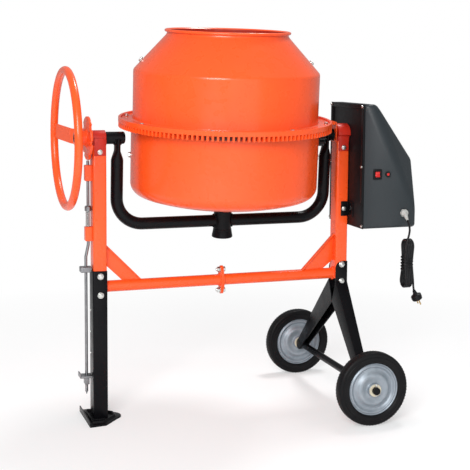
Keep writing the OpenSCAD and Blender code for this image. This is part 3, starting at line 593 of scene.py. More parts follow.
def paint_node(node: str, finish: Finish) -> None:
    """Give a node that stays as it is a finish.

    Args:
        node: The node's name.
        finish: Its finish.
    """
    piece = frame["nodes"][node]
    piece.data.materials.clear()
    piece.data.materials.append(finish.material())
    for slot in piece.material_slots:
        slot.link = "DATA"
    log.info("%s stays, with %s", node, finish.name)


# ---- repeated pieces -----------------------------------------------------------------------


class Tree(NodeTree):
    """A Geometry Nodes tree with named inputs, made into plain meshes by `run`."""

    def __init__(self, name: str, **inputs: object) -> None:
        """Start a tree.

        Args:
            name: The tree's name.
            inputs: Each input's name and first value, or its socket type where it has none.
        """
        super().__init__(bpy.data.node_groups.new(name, "GeometryNodeTree"))
        face = self.tree.interface
        face.new_socket("Geometry", in_out="INPUT", socket_type="NodeSocketGeometry")
        kinds = {int: "NodeSocketInt", float: "NodeSocketFloat", tuple: "NodeSocketVector"}
        for key, value in {**inputs, "Finish": "NodeSocketMaterial"}.items():
            socket = face.new_socket(key, in_out="INPUT", socket_type=kinds.get(type(value), value))
            if not isinstance(value, str):
                socket.default_value = value
        face.new_socket("Geometry", in_out="OUTPUT", socket_type="NodeSocketGeometry")
        self.given = self.tree.nodes.new("NodeGroupInput").outputs

    def close(self, geometry: bpy.types.Node) -> "Tree":
        """End the tree with real geometry in the given finish.

        Args:
            geometry: The node that makes the geometry.

        Returns:
            The tree itself.
        """
        real = self.add("GeometryNodeRealizeInstances", {"Geometry": geometry})
        dressed = self.add("GeometryNodeSetMaterial", {"Geometry": real,
                                                       "Material": self.given["Finish"]})
        self.add("NodeGroupOutput", {0: dressed})
        return self

    def run(self, name: str, base: bpy.types.Mesh | None = None,
            **values: object) -> bpy.types.Mesh:
        """Evaluate the tree on a mesh.

        Args:
            name: Name of the mesh that it makes.
            base: The mesh that goes in, if the tree needs one.
            values: Inputs by name.

        Returns:
            The plain mesh that comes out.
        """
        holder = stand_in_scene("holder", base or bpy.data.meshes.new("none"))
        modifier = holder.modifiers.new("tree", "NODES")
        modifier.node_group = self.tree
        for item in self.tree.interface.items_tree:
            if item.in_out == "INPUT" and item.name in values:
                modifier[item.identifier] = values[item.name]
        graph = bpy.context.evaluated_depsgraph_get()
        made = bpy.data.meshes.new_from_object(holder.evaluated_get(graph))
        made.name = name
        bpy.data.objects.remove(holder)
        return made


def seat_tree() -> Tree:
    """Return the tree that sets one fastener on every seat, along the seat's axis."""
    tree = Tree("fasteners_on_seats", Fastener="NodeSocketObject")
    shape = tree.add("GeometryNodeObjectInfo", {"Object": tree.given["Fastener"]})
    axis = tree.add("GeometryNodeInputNamedAttribute", {"Name": "axis"}, data_type="FLOAT_VECTOR")
    size = tree.add("GeometryNodeInputNamedAttribute", {"Name": "size"}, data_type="FLOAT")
    turn = tree.add("FunctionNodeAlignRotationToVector", {"Vector": axis}, axis="Z")
    grow = tree.add("ShaderNodeCombineXYZ", {k: size for k in "XYZ"})
    seats = tree.add("GeometryNodeMeshToPoints", {"Mesh": tree.given["Geometry"]})
    return tree.close(tree.add("GeometryNodeInstanceOnPoints", {
        "Points": seats, "Instance": shape.outputs["Geometry"], "Rotation": turn, "Scale": grow}))


def teeth_tree() -> Tree:
    """Return the tree that stands teeth round a ring."""
    tree = Tree("teeth_on_ring", Teeth=140, Radius=0.35, Size=(0.02, 0.007, 0.016), Turn=0.0)
    given = tree.given
    ring = tree.add("GeometryNodeMeshCircle", {"Vertices": given["Teeth"],
                                               "Radius": given["Radius"]})
    tooth = tree.add("GeometryNodeMeshCube", {"Size": given["Size"]})
    place = tree.add("GeometryNodeInputPosition")
    turn = tree.add("FunctionNodeAlignRotationToVector", {"Vector": place}, axis="X")
    stood = tree.add("GeometryNodeInstanceOnPoints", {
        "Points": ring, "Instance": tooth, "Rotation": turn})
    spin = tree.add("ShaderNodeCombineXYZ", {"Z": given["Turn"]})
    return tree.close(tree.add("GeometryNodeTransform", {"Geometry": stood, "Rotation": spin}))


def weld_tree() -> Tree:
    """Return the tree that lays the ripples of a weld along a line."""
    tree = Tree("weld_along_line", Step=0.0026, Bead=0.0036, Seed=7)
    given = tree.given
    line = tree.add("GeometryNodeMeshToCurve", {"Mesh": given["Geometry"]})
    dots = tree.add("GeometryNodeResampleCurve", {"Curve": line, "Length": given["Step"]},
                    mode="LENGTH")
    bead = tree.add("GeometryNodeMeshUVSphere", {"Segments": 10, "Rings": 6,
                                                 "Radius": given["Bead"]})
    along = tree.add("GeometryNodeInputTangent")
    turn = tree.add("FunctionNodeAlignRotationToVector", {"Vector": along}, axis="Z")
    vary = tree.add("FunctionNodeRandomValue", {2: 0.85, 3: 1.12, "Seed": given["Seed"]},
                    data_type="FLOAT").outputs[1]
    flat = tree.add("ShaderNodeCombineXYZ", {"X": vary, "Y": vary, "Z": 0.62})
    return tree.close(tree.add("GeometryNodeInstanceOnPoints", {
        "Points": dots, "Instance": bead, "Rotation": turn, "Scale": flat}))


def coil_tree() -> Tree:
    """Return the tree that winds a coil spring."""
    tree = Tree("coil_spring", Turns=9.0, Radius=0.008, Height=0.06, Wire=0.0011)
    given = tree.given
    wound = tree.add("GeometryNodeCurveSpiral", {
        "Resolution": 28, "Rotations": given["Turns"], "Start Radius": given["Radius"],
        "End Radius": given["Radius"], "Height": given["Height"]})
    section = tree.add("GeometryNodeCurvePrimitiveCircle", {"Resolution": 10,
                                                            "Radius": given["Wire"]})
    return tree.close(tree.add("GeometryNodeCurveToMesh", {
        "Curve": wound, "Profile Curve": section, "Fill Caps": True}))


def fin_tree() -> Tree:
    """Return the tree that stands a row of fins side by side."""
    tree = Tree("row_of_fins", Count=8, Pitch=(0.0, 0.01, 0.0), Size=(0.002, 0.004, 0.05),
                Start=(0.0, 0.0, 0.0))
    given = tree.given
    row = tree.add("GeometryNodeMeshLine", {"Count": given["Count"], "Offset": given["Pitch"],
                                            "Start Location": given["Start"]})
    fin = tree.add("GeometryNodeMeshCube", {"Size": given["Size"]})
    return tree.close(tree.add("GeometryNodeInstanceOnPoints", {"Points": row, "Instance": fin}))


def place_mesh(mesh: bpy.types.Mesh, place: Matrix) -> bpy.types.Mesh:
    """Put a mesh in metres where a matrix in millimetres says.

    Args:
        mesh: The mesh, drawn about the origin.
        place: Where it goes.

    Returns:
        The same mesh.
    """
    moved = place.copy()
    moved.translation = moved.translation * MM
    mesh.transform(moved)
    return mesh


class FastenerKind(Enum):
    """The fasteners that the machine is put together with."""

    HEX_BOLT = "hex_bolt"
    HEX_NUT = "hex_nut"
    PAN_SCREW = "pan_screw"


@dataclass(frozen=True)
class Seat:
    """Where a fastener sits."""

    at: Point3  # middle of its seat
    axis: Point3  # the way that its head points
    size: float  # its thread diameter in millimetres


class Fasteners:
    """The drawings of the fasteners, and the tree that sets them on their seats."""

    def __init__(self) -> None:
        """Draw one fastener of each kind, for a thread of one millimetre."""
        self.tree = seat_tree()
        drawings = {FastenerKind.HEX_BOLT: self._hex(0.64), FastenerKind.HEX_NUT: self._hex(0.8),
                    FastenerKind.PAN_SCREW: self._pan()}
        self.drawn = {kind: bpy.data.objects.new(kind.value, shape.mesh(kind.value))
                      for kind, shape in drawings.items()}

    @staticmethod
    def _hex(height: float) -> Shape:
        """Draw a washer and a chamfered hexagon, a tall one with the thread's end."""
        shape = Shape()
        shape.lathe([(0, 0), (1.02, 0), (1.06, 0.04), (1.06, 0.13), (1.02, 0.17), (0, 0.17)],
                    steps=28)
        flat = arc((0, 0), 0.92, 0, 300, 5)
        shape.slab(flat, 0.17, 0.17 + height, bevel=0.09, bevel_steps=3)
        if height > 0.7:
            thread = [(0, 0.6)] + [(0.5 - 0.03 * (i % 2), 0.9 + 0.09 * i) for i in range(6)]
            shape.lathe(thread + [(0.42, 1.42), (0, 1.42)], steps=20)
        else:
            shape.lathe([(0, 0.5), (0.62, 0.5), (0.62, 0.19 + height), (0.56, 0.215 + height),
                         (0, 0.215 + height)], steps=24)
        return shape

    @staticmethod
    def _pan() -> Shape:
        """Draw a domed screw head with a round recess."""
        return Shape().lathe([(0, -0.1), (1.0, -0.1), (1.0, 0.12)]
                             + arc((0.62, 0.12), 0.38, 20, 90, 6)
                             + [(0.3, 0.50), (0.24, 0.22), (0, 0.22)], steps=28)

    def set_on(self, name: str, kind: FastenerKind, seats: Sequence[Seat], finish: Finish,
               place: Matrix = UPRIGHT) -> bpy.types.Mesh:
        """Set fasteners on their seats.

        Args:
            name: Name of the mesh.
            kind: Which fastener.
            seats: Where each one sits.
            finish: Their finish.
            place: Where the seats' own frame lies.

        Returns:
            The fasteners as one mesh.
        """
        turn = place.to_3x3()
        mesh = bpy.data.meshes.new(name)
        mesh.from_pydata([(place @ Vector(seat.at)) * MM for seat in seats], [], [])
        mesh.attributes.new("axis", "FLOAT_VECTOR", "POINT")
        mesh.attributes.new("size", "FLOAT", "POINT")
        for i, seat in enumerate(seats):
            mesh.attributes["axis"].data[i].vector = (turn @ Vector(seat.axis)).normalized()
            mesh.attributes["size"].data[i].value = seat.size
        return self.tree.run(name, mesh, Fastener=self.drawn[kind], Finish=finish.material())


class Welds:
    """Weld beads, laid by one tree along any line."""

    def __init__(self) -> None:
        """Build the tree."""
        self.tree = weld_tree()

    def lay(self, name: str, lines: Sequence[Sequence[Vector]], finish: Finish,
            bead: float = 3.4, step: float = 2.4) -> bpy.types.Mesh:
        """Lay beads along lines.

        Args:
            name: Name of the mesh.
            lines: The lines, in millimetres and in place.
            finish: Finish of the beads.
            bead: Radius of a bead, in millimetres.
            step: Distance between ripples, in millimetres.

        Returns:
            The beads as one mesh.
        """
        points, edges = [], []
        for line in lines:
            edges += [(len(points) + i, len(points) + i + 1) for i in range(len(line) - 1)]
            points += [Vector(p) * MM for p in line]
        mesh = bpy.data.meshes.new(name)
        mesh.from_pydata(points, edges, [])
        return self.tree.run(name, mesh, Finish=finish.material(), Bead=bead * MM, Step=step * MM)


def ring_line(place: Matrix, radius: float, height: float = 0, steps: int = 48) -> list[Vector]:
    """Return a circle of points about a placed axis.

    Args:
        place: Where the axis lies. The axis is its Z.
        radius: Radius of the circle.
        height: Height along the axis.
        steps: Stretches in the circle.

    Returns:
        The points, the first repeated at the end.
    """
    return [place @ Vector((x, y, height)) for x, y in arc((0, 0), radius, 0, 360, steps)]


def join(name: str, meshes: Sequence[bpy.types.Mesh]) -> bpy.types.Mesh:
    """Join meshes, each with its own finish, into one.

    Args:
        name: The new mesh's name.
        meshes: The meshes.

    Returns:
        The joined mesh.
    """
    joined = bmesh.new()
    finishes: list[bpy.types.Material] = []
    for mesh in meshes:
        start = len(joined.faces)
        joined.from_mesh(mesh)
        joined.faces.ensure_lookup_table()
        slots = []
        for material in mesh.materials:
            if material not in finishes:
                finishes.append(material)
            slots.append(finishes.index(material))
        for i in range(start, len(joined.faces)):
            chosen = joined.faces[i]
            chosen.material_index = slots[min(chosen.material_index, len(slots) - 1)]
        bpy.data.meshes.remove(mesh)
    made = bpy.data.meshes.new(name)
    for material in finishes:
        made.materials.append(material)
    joined.to_mesh(made)
    joined.free()
    return made


def coated(shape: Shape, name: str, finish: Finish) -> bpy.types.Mesh:
    """Turn a shape into a mesh that already has its finish."""
    mesh = shape.mesh(name)
    mesh.materials.append(finish.material())
    return mesh


FASTENERS = Fasteners()
WELDS = Welds()
TEETH = teeth_tree()


# ---- power cord ----------------------------------------------------------------------------


@dataclass
class PowerCord:
    """The mains lead: from the gland into a hung hank, and down to its plug."""

    thick: float = 7.0  # diameter of the cord
    # points from the gland to the hank
    lead: Sequence[Point3] = (
        (558, -178.6, 657.4), (558, -184, 652), (558, -189, 645.5), (557.8, -194, 637),
        (556, -199.5, 625), (551.8, -204, 613), (547, -207.3, 602), (542.6, -209.5, 591),
        (540, -210.4, 580))
    # points from the hank to the plug
    tail: Sequence[Point3] = (
        (568.5, -210.5, 440), (569, -210.7, 432), (569.8, -211, 425), (571, -211.3, 418))
    hank: Point3 = (554, -188, 510)  # middle of the hank
    run: float = 60  # half the hank's straight run
    fold: float = 22.5  # radius of the hank's folds
    pinch: float = 0.5  # how near the runs come together under the tie
    depth: float = 38  # depth of the hank
    turns: int = 4  # whole turns in the hank
    plug_turn: float = 155  # how far the plug hangs out of upright, in degrees

    def route(self) -> list[Vector]:
        """Return the cord's whole route: the lead, the turns of the hank and the tail."""
        _, y, z = self.hank
        start, end = self.lead[-1][0], self.tail[0][0]
        bends = 8
        points = [Vector(p) for p in self.lead]
        whole = 2 * (2 * self.run + math.pi * self.fold)
        total = self.turns * whole + 2 * self.run
        gone = 0.0

        def lay(out: float, height: float, step: float) -> None:
            """Add one point of the hank, a step further along it."""
            nonlocal gone
            gone += step
            points.append(Vector((start + (end - start) * gone / total, y - out, z + height)))

        straight, curved = self.run / 2, math.pi * self.fold / bends
        half = (1 + self.pinch) / 2
        squeeze = (1, half, self.pinch, half, 1)
        for turn in range(self.turns + 1):
            for side in (1, -1):
                bent = curved if side < 0 or points[-1].z < z + self.run else 0
                for k in range(5):
                    lay(side * self.fold * squeeze[k], side * (self.run - k * straight),
                        straight if k else bent)
                if turn == self.turns:
                    break
                for k in range(1, bends):
                    a = math.pi * k / bends
                    lay(side * self.fold * math.cos(a),
                        side * (-self.run - self.fold * math.sin(a)), curved)
        return points + [Vector(p) for p in self.tail]

    def make(self) -> None:
        """Make the cord, its tie, its plug and the gland's pieces."""
        tie = dress(self._tie(), "cord_tie", Body.STAND, BLACK_PLASTIC)
        plug = self._plug()
        gland = self._gland()
        route = self.route()
        curve = bpy.data.curves.new("power_lead", "CURVE")
        curve.dimensions = "3D"
        curve.bevel_depth = self.thick / 2 * MM
        curve.bevel_resolution = 6
        curve.resolution_u = 6
        curve.use_fill_caps = True
        line = curve.splines.new("NURBS")
        line.order_u = 4
        line.use_endpoint_u = True
        line.points.add(len(route) - 1)
        for spot, point in zip(line.points, route):
            spot.co = (*(point * MM), 1)
        curve.materials.append(JACKET.material())
        piece = stand_in_scene("power_lead", curve)
        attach(piece, Body.STAND.value)
        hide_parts("power_cord", "cord_hank")

    def _tie(self) -> bpy.types.Mesh:
        """Return the strand that is wound round the middle of the hank."""
        x, y, z = self.hank
        wide = self.fold * self.pinch + self.thick / 2 + 2.6
        deep, rounds, per = self.depth / 2 + 1.6, 5, 20
        wound = [Vector((x + deep * math.cos(a), y + wide * math.sin(a),
                         z + 26 - 52 * i / (rounds * per)))
                 for i, a in ((i, 2 * math.pi * i / per) for i in range(rounds * per + 1))]
        return Shape().sweep(wound, circle_profile(2.4, 10), up=Vector((0, 0, 1))).mesh("cord_tie")

    def _plug(self) -> bpy.types.Object:
        """Return the two-pin plug: a ribbed neck, a round body and its pins."""
        place = Matrix.Translation(self.tail[-1]) @ Matrix.Rotation(
            math.radians(self.plug_turn), 4, "Y")
        body = Shape()
        ribs = [(4.6 + 0.25 * i + (0.9 if i % 2 else 0), 1.3 * i) for i in range(11)]
        shell = [(11.4, 15.5), (13, 17)] + arc((13.2, 22), 4.6, -50, 0, 5) + [(17.8, 33)]
        body.lathe([(0, 0)] + ribs + shell + arc((15.8, 34), 2, 0, 90, 5) + [(0, 36)], place, 48)
        pins = Shape()
        for side in (-1, 1):
            for row in range(4):
                x, z = side * 17.2, 19 + 3.4 * row
                body.box((x - 1.2, -6, z), (x + 1.2, 6, z + 1.6), place)
            at = place @ Matrix.Translation((0, side * 9.5, 35))
            pins.lathe([(0, 0), (2.4, 0), (2.4, 18)] + arc((0.6, 18.2), 1.8, 0, 90, 6) + [(0, 20)],
                       at, 24)
        mesh = join("mains_plug", [coated(body, "plug_body", BLACK_PLASTIC),
                                   coated(pins, "plug_pins", BRASS)])
        return dress(mesh, "mains_plug", Body.STAND, BLACK_PLASTIC, ["power_plug"])

    def _gland(self) -> bpy.types.Object:
        """Return the gland: its locknut, its dome and the boot bent down over the lead."""
        low, high = box_mm("cable_gland")
        at = Vector(((low.x + high.x) / 2, high.y - 10, (self.lead[0][2] + 22.6)))
        place = Matrix.Translation(at) @ TOWARDS_FRONT
        nut = Shape()
        flat = arc((0, 0), 14.6, 0, 300, 5)
        nut.slab(flat, 0, 6.5, place, bevel=1.0)
        nut.lathe([(0, -8), (8.8, -8), (8.8, 0.5), (0, 0.5)], place, 40)
        nut.lathe([(0, 6), (12.4, 6), (12.4, 10.5)] + arc((9.2, 10.5), 3.2, 0, 90, 6) + [(0, 13.7)],
                  place, 48)
        tilt = place @ Matrix.Translation((0, 0, 8)) @ Matrix.Rotation(math.radians(45), 4, "X")
        steps = 9
        boot = [(0, 0)]
        for i in range(steps):
            outer = 8.8 - 3.9 * i / (steps - 1)
            boot += [(outer, 3.4 * i + 0.2), (outer - 0.2, 3.4 * i + 2.3),
                     (outer - 1.0, 3.4 * i + 2.6), (outer - 1.0, 3.4 * i + 3.2)]
        boot += [(4.4, 31.4), (0, 31.4)]
        nut.lathe(boot, tilt, 32)
        return dress(nut, "lead_gland", Body.STAND, GREY_NYLON, ["cable_gland"])


# ---- stand ---------------------------------------------------------------------------------


@dataclass
class Stand:
    """The bolted stand: two posts, their legs, the crossbar and the pivot brackets."""

    post_corner: float = 6  # radius of a post's rounded corners
    leg_wall: float = 3  # sheet of the left leg and of the legs' plates
    left_bolts: Point2 = (428, 491)  # heights of the bolts through the left leg
    right_bolts: Point2 = (427, 487)  # heights of the bolts through the two right legs
    leg_end: float = 277.5  # how far to each side a leg's end stands
    bar_radius: float = 19  # radius of the crossbar
    bar_height: float = 452  # height of the crossbar
    joint_x: float = -60  # where the crossbar's halves meet
    ear: float = 36  # distance of a flange's bolts from the crossbar's middle

    def make(self) -> None:
        """Make every piece of the stand."""
        for side in ("left", "right"):
            self._post(side)
            self._bracket(side)
        self._left_leg()
        self._foot()
        for name, side in (("front_leg", -1), ("rear_leg", 1)):
            self._leg(name, side)
        self._crossbar()
        self._brace("left", 1, (524, 594), (-409, -343))
        self._brace("right", -1, (500, 596), (318, 236))
        self._fasteners()
        self._welds()
        paint_node("axle", BLACK)
        self._housing_bracket()

    def _post(self, side: str) -> None:
        """Make one square post with rounded corners."""
        low, high = box_mm(side + "_post")
        middle, half = (low + high) / 2, (high - low) / 2
        outline = rounded_rectangle(middle.xy, half.xy, self.post_corner)
        shape = Shape().slab(outline, low.z, high.z, bevel=0.8)
        name = side + "_upright"
        dress(shape, name, Body.STAND, ORANGE, [side + "_post"])

    def _bracket(self, side: str) -> None:
        """Make the pivot bracket of one post: an arched bearing with two straps."""
        low, high = box_mm(side + "_pivot_bracket")
        post_low, post_high = box_mm(side + "_post")
        crown = high.z - PIVOT.z
        shape = Shape()
        foot = post_high.z - PIVOT.z
        half = (post_high.y - post_low.y) / 2
        arch = arc((0, 0), crown, 0, 180, 24)
        outline = [(half, foot), (half, -6)] + arch + [(-half, -6), (-half, foot)]
        place = Matrix.Translation((low.x, 0, PIVOT.z)) @ ACROSS_X
        shape.slab(outline, 0, high.x - low.x, place, bevel=1.6, bevel_steps=3)
        for sign in (-1, 1):
            edge = sorted((sign * half, sign * (half + 4)))
            shape.box((low.x + 4, edge[0], low.z), (high.x - 4, edge[1], PIVOT.z), bevel=1.5)
        name = side + "_pivot_block"
        dress(shape, name, Body.STAND, RED, [side + "_pivot_bracket"])

    def _left_leg(self) -> None:
        """Make the left leg, a folded channel with three small holes' plugs in its web."""
        low, high = box_mm("left_leg")
        t, bend = self.leg_wall, 5
        outline = [(high.x, low.y)] + arc((low.x + bend, low.y + bend), bend, 270, 180, 5) \
            + arc((low.x + bend, high.y - bend), bend, 180, 90, 5) + [(high.x, high.y)] \
            + [(high.x, high.y - t)] + arc((low.x + bend, high.y - bend), bend - t, 90, 180, 4) \
            + arc((low.x + bend, low.y + bend), bend - t, 180, 270, 4) + [(high.x, low.y + t)]
        shape = Shape().slab(outline, low.z, high.z, bevel=0.7)
        dress(shape, "left_leg_channel", Body.STAND, BLACK, ["left_leg"])
        seats = [Seat((low.x + 0.3, 12, z), (-1, 0, 0), 4) for z in (372, 300, 228)]
        rivets = FASTENERS.set_on("leg_rivets", FastenerKind.PAN_SCREW, seats, ZINC)
        dress(rivets, "leg_rivets", Body.STAND, ZINC)

    def _foot(self) -> None:
        """Make the foot plate, with its lip, its pressed rib and the weld round the leg."""
        low, high = box_mm("foot_plate")
        outline = [(low.x, -82), (low.x, 102), (-480, 98)] \
            + arc((high.x - 34, 12), 34, 60, -60, 10) + [(-480, -76)]
        shape = Shape().slab(outline, 0, 6, bevel=1.2, bevel_steps=3)
        shape.box((low.x, -82, 2), (low.x + 4, 102, 20), bevel=1.6, bevel_steps=3)
        rib = smooth_path([(-520.5, -59, 6), (-520.5, 77, 6), (-483, 73, 6), (-437, 28.5, 6),
                           (-437, -4.5, 6), (-483, -55, 6), (-520.5, -59, 6)], 8, 5)[:-1]
        shape.sweep(rib, [(-5, -1), (-3.2, 5.5), (-1.2, 7.6), (1.2, 7.6), (3.2, 5.5), (5, -1)],
                    closed=True, up=Vector((0, 0, 1)))
        dress(shape, "foot", Body.STAND, BLACK, ["foot_plate"])
        leg_low, leg_high = box_mm("left_leg")
        corners = [(leg_high.x, leg_low.y), (leg_low.x, leg_low.y), (leg_low.x, leg_high.y),
                   (leg_high.x, leg_high.y)]
        line = [Vector((x, y, 7.5)) for x, y in corners]
        dress(WELDS.lay("foot_weld", [line], BLACK, bead=4.5, step=3), "foot_weld", Body.STAND,
              BLACK)

    def _leg(self, name: str, side: int) -> None:
        """Make one leg of the right side: a plate on the post and a tapered channel."""
        low, high = box_mm(name)
        post_low, post_high = box_mm("right_post")
        axle = Vector(joint("front_wheel_spin")["pos_m"]) / MM
        face = post_high.y + self.leg_wall
        mirror = Matrix.Scale(side, 4, (0, 1, 0))
        shape = Shape()
        plate = [(max(low.x, post_low.x), 392), (post_low.x, 470)] \
            + arc((post_low.x + 26, 472), 26, 180, 90, 8) \
            + [(post_high.x, high.z), (post_high.x, 392)]
        stand_up = Matrix.Translation((0, face, 0)) @ TOWARDS_FRONT
        shape.slab(plate, 0, self.leg_wall, mirror @ stand_up, bevel=0.7)
        middle = (post_low.x + post_high.x) / 2
        end = Vector((axle.x, self.leg_end, axle.z))
        across = Vector((0, 0.673, 0.739))
        outer = (Vector((middle, face, 430)), end + across * 18.8)
        inner = (Vector((middle, 0.6, 350)), end - across * 18.8)
        steps, thick = 16, 3.6
        rings: list[Vector] = []
        for i in range(steps + 1):
            high_edge, low_edge = (edge[0].lerp(edge[1], i / steps) for edge in (outer, inner))
            wide = 22.5 - 7.5 * i / steps
            down = (low_edge - high_edge).normalized()
            section = [(-wide, None), (-wide + thick, None), (-wide + thick, thick),
                       (wide - thick, thick), (wide - thick, None), (wide, None), (wide, 4),
                       (wide - 1.2, 1.2), (wide - 4, 0), (4 - wide, 0), (1.2 - wide, 1.2),
                       (-wide, 4)]
            rings += [(low_edge if d is None else high_edge + down * d) + Vector((x, 0, 0))
                      for x, d in section]
        shape.add(rings, band_faces(steps + 1, len(section)), mirror)
        boss = [(0, -15), (18.4, -15), (19, -14), (19, 14), (18.4, 15), (0, 15)]
        shape.lathe(boss, mirror @ Matrix.Translation(end) @ ALONG_X, 48)
        new = name + "_channel"
        dress(shape, new, Body.STAND, BLACK, [name])

    def _crossbar(self) -> None:
        """Make the two halves of the crossbar with their bolted flanges."""
        left, right = box_mm("crossbar_left")[0].x, box_mm("crossbar_right")[1].x
        joint_x = self.joint_x
        r = self.bar_radius
        place = Matrix.Translation((0, 0, self.bar_height)) @ ALONG_X
        ears = arc((-self.ear, 0), 13, 130, 230, 8) + [(-14, -24)] \
            + arc((0, 0), 26, -110, -70, 4) + [(14, -24)] + arc((self.ear, 0), 13, -50, 50, 8) \
            + [(14, 24)] + arc((0, 0), 26, 70, 110, 4) + [(-14, 24)]
        for name, x0, x1, flange in (("crossbar_left", left, joint_x - 4, joint_x - 5),
                                     ("crossbar_right", joint_x + 4, right, joint_x)):
            shape = Shape()
            shape.lathe([(r - 2.5, x0), (r, x0), (r, x1), (r - 2.5, x1)], place, 64)
            shape.slab(ears, flange + 0.1, flange + 4.9, place, bevel=0.9)
            dress(shape, name + "_tube", Body.STAND, ORANGE, [name])

    def _brace(self, side: str, way: int, heights: Point2, reach: Point2) -> None:
        """Make one brace: a gusset between post and crossbar with a flanged outer edge."""
        low, high = box_mm(side + "_brace")
        near = low.x if way > 0 else high.x
        top = self.bar_height + self.bar_radius - 1
        web = [(near, heights[0]), (near, heights[1]), (reach[1], top), (reach[0], top)]
        upright = Matrix.Translation((0, 3, 0)) @ TOWARDS_FRONT
        shape = Shape().slab(web, 0, 6, upright, bevel=1.2)
        run = Vector((reach[1] - near, top - heights[1])).normalized()
        inward = Vector((run.y, -run.x))
        if inward.y > 0:
            inward.negate()
        a, b = Vector((near, heights[1])), Vector((reach[1], top))
        lip = [tuple(a), tuple(b), tuple(b + inward * 4 - run * 5), tuple(a + inward * 4)]
        shape.slab(lip, 5, 15, upright, bevel=1.0)
        name = side + "_gusset"
        dress(shape, name, Body.STAND, ORANGE, [side + "_brace"])

    def _fasteners(self) -> None:
        """Set every bolt, nut and wheel washer of the stand."""
        right_low, right_high = box_mm("right_post")
        middle_left = sum(v.x for v in box_mm("left_post")) / 2
        middle_right = (right_low.x + right_high.x) / 2
        face = right_high.y + self.leg_wall
        heads, nuts = [], []
        for x, heights in ((middle_left, self.left_bolts), (middle_right, self.right_bolts)):
            for z in heights:
                heads.append(Seat((x, -face, z), (0, -1, 0), 10))
                nuts.append(Seat((x, face, z), (0, 1, 0), 10))
        for sign in (-1, 1):
            z = self.bar_height + sign * self.ear
            heads.append(Seat((self.joint_x + 4.9, 0, z), (1, 0, 0), 10))
            nuts.append(Seat((self.joint_x - 4.9, 0, z), (-1, 0, 0), 10))
            strap = box_mm("left_pivot_bracket")[0].z + 17
            for x in (middle_left, middle_right):
                heads.append(Seat((x, sign * (right_high.y + 4), strap - 5), (0, sign, 0), 8))
        meshes = [FASTENERS.set_on("stand_bolts", FastenerKind.HEX_BOLT, heads, ZINC),
                  FASTENERS.set_on("stand_nuts", FastenerKind.HEX_NUT, nuts, ZINC)]
        dress(join("stand_bolts", meshes), "stand_bolts", Body.STAND, ZINC, ["stand_fasteners"])
        self._wheel_keepers()

    def _wheel_keepers(self) -> None:
        """Make the pale washers beside each wheel's hub and the split pins."""
        washers, pins = Shape(), Shape()
        for sign in (-1, 1):
            hub = Vector(joint("front_wheel_spin")["pos_m"]) / MM
            hub.y *= -sign
            side = Matrix.Translation((hub.x, 0, hub.z)) @ Matrix.Rotation(
                -sign * math.pi / 2, 4, "X")
            reach = abs(hub.y)
            for inner in (reach - 30.5, reach + 27.5):
                washers.lathe([(12.6, inner), (20.4, inner), (21, inner + 0.6), (21, inner + 2.4),
                               (20.4, inner + 3), (12.6, inner + 3)], side, 56)
            eye = reach + 35
            bend = [(0, -19, eye), (0, 15, eye), (0, 17, eye + 1), (3, 21, eye), (0, 23, eye - 1),
                    (-3, 21, eye), (0, 17, eye - 1)]
            pins.sweep(smooth_path(bend, 2.5, 4), circle_profile(1.5, 10), side,
                       up=Vector((0.2, 0.1, 1)))
        dress(washers, "hub_washers", Body.STAND, CREAM_NYLON)
        dress(pins, "split_pins", Body.STAND, ZINC)

    def _welds(self) -> None:
        """Lay the welds of the crossbar and its flanges."""
        left, right = box_mm("crossbar_left")[0].x, box_mm("crossbar_right")[1].x
        lines = []
        for x in (left + 1.5, right - 1.5, self.joint_x - 5.8, self.joint_x + 5.8):
            place = Matrix.Translation((x, 0, self.bar_height)) @ ALONG_X
            lines.append(ring_line(place, self.bar_radius + 0.6))
        dress(WELDS.lay("crossbar_welds", lines, ORANGE), "crossbar_welds", Body.STAND, ORANGE)

    def _housing_bracket(self) -> None:
        """Make the folded plate between the right post and the housing's lower edge."""
        low, high = box_mm("housing_bracket")
        post_low, _ = box_mm("right_post")
        shape = Shape()
        shape.box((low.x, post_low.y - 3, low.z), (high.x, post_low.y, high.z), bevel=1.0)
        shape.box((high.x - 3, low.y, low.z), (high.x, post_low.y - 1, high.z), bevel=1.0)
        middle = (low.z + high.z) / 2
        seat = Seat(((low.x + high.x) / 2 - 3.5, post_low.y - 3, middle), (0, -1, 0), 8)
        bolt = FASTENERS.set_on("bracket_bolt", FastenerKind.HEX_BOLT, [seat], ZINC)
        mesh = join("lower_housing_plate", [coated(shape, "plate", BLACK), bolt])
        dress(mesh, "lower_housing_plate", Body.STAND, BLACK, ["housing_bracket"])


# ---- wheels --------------------------------------------------------------------------------


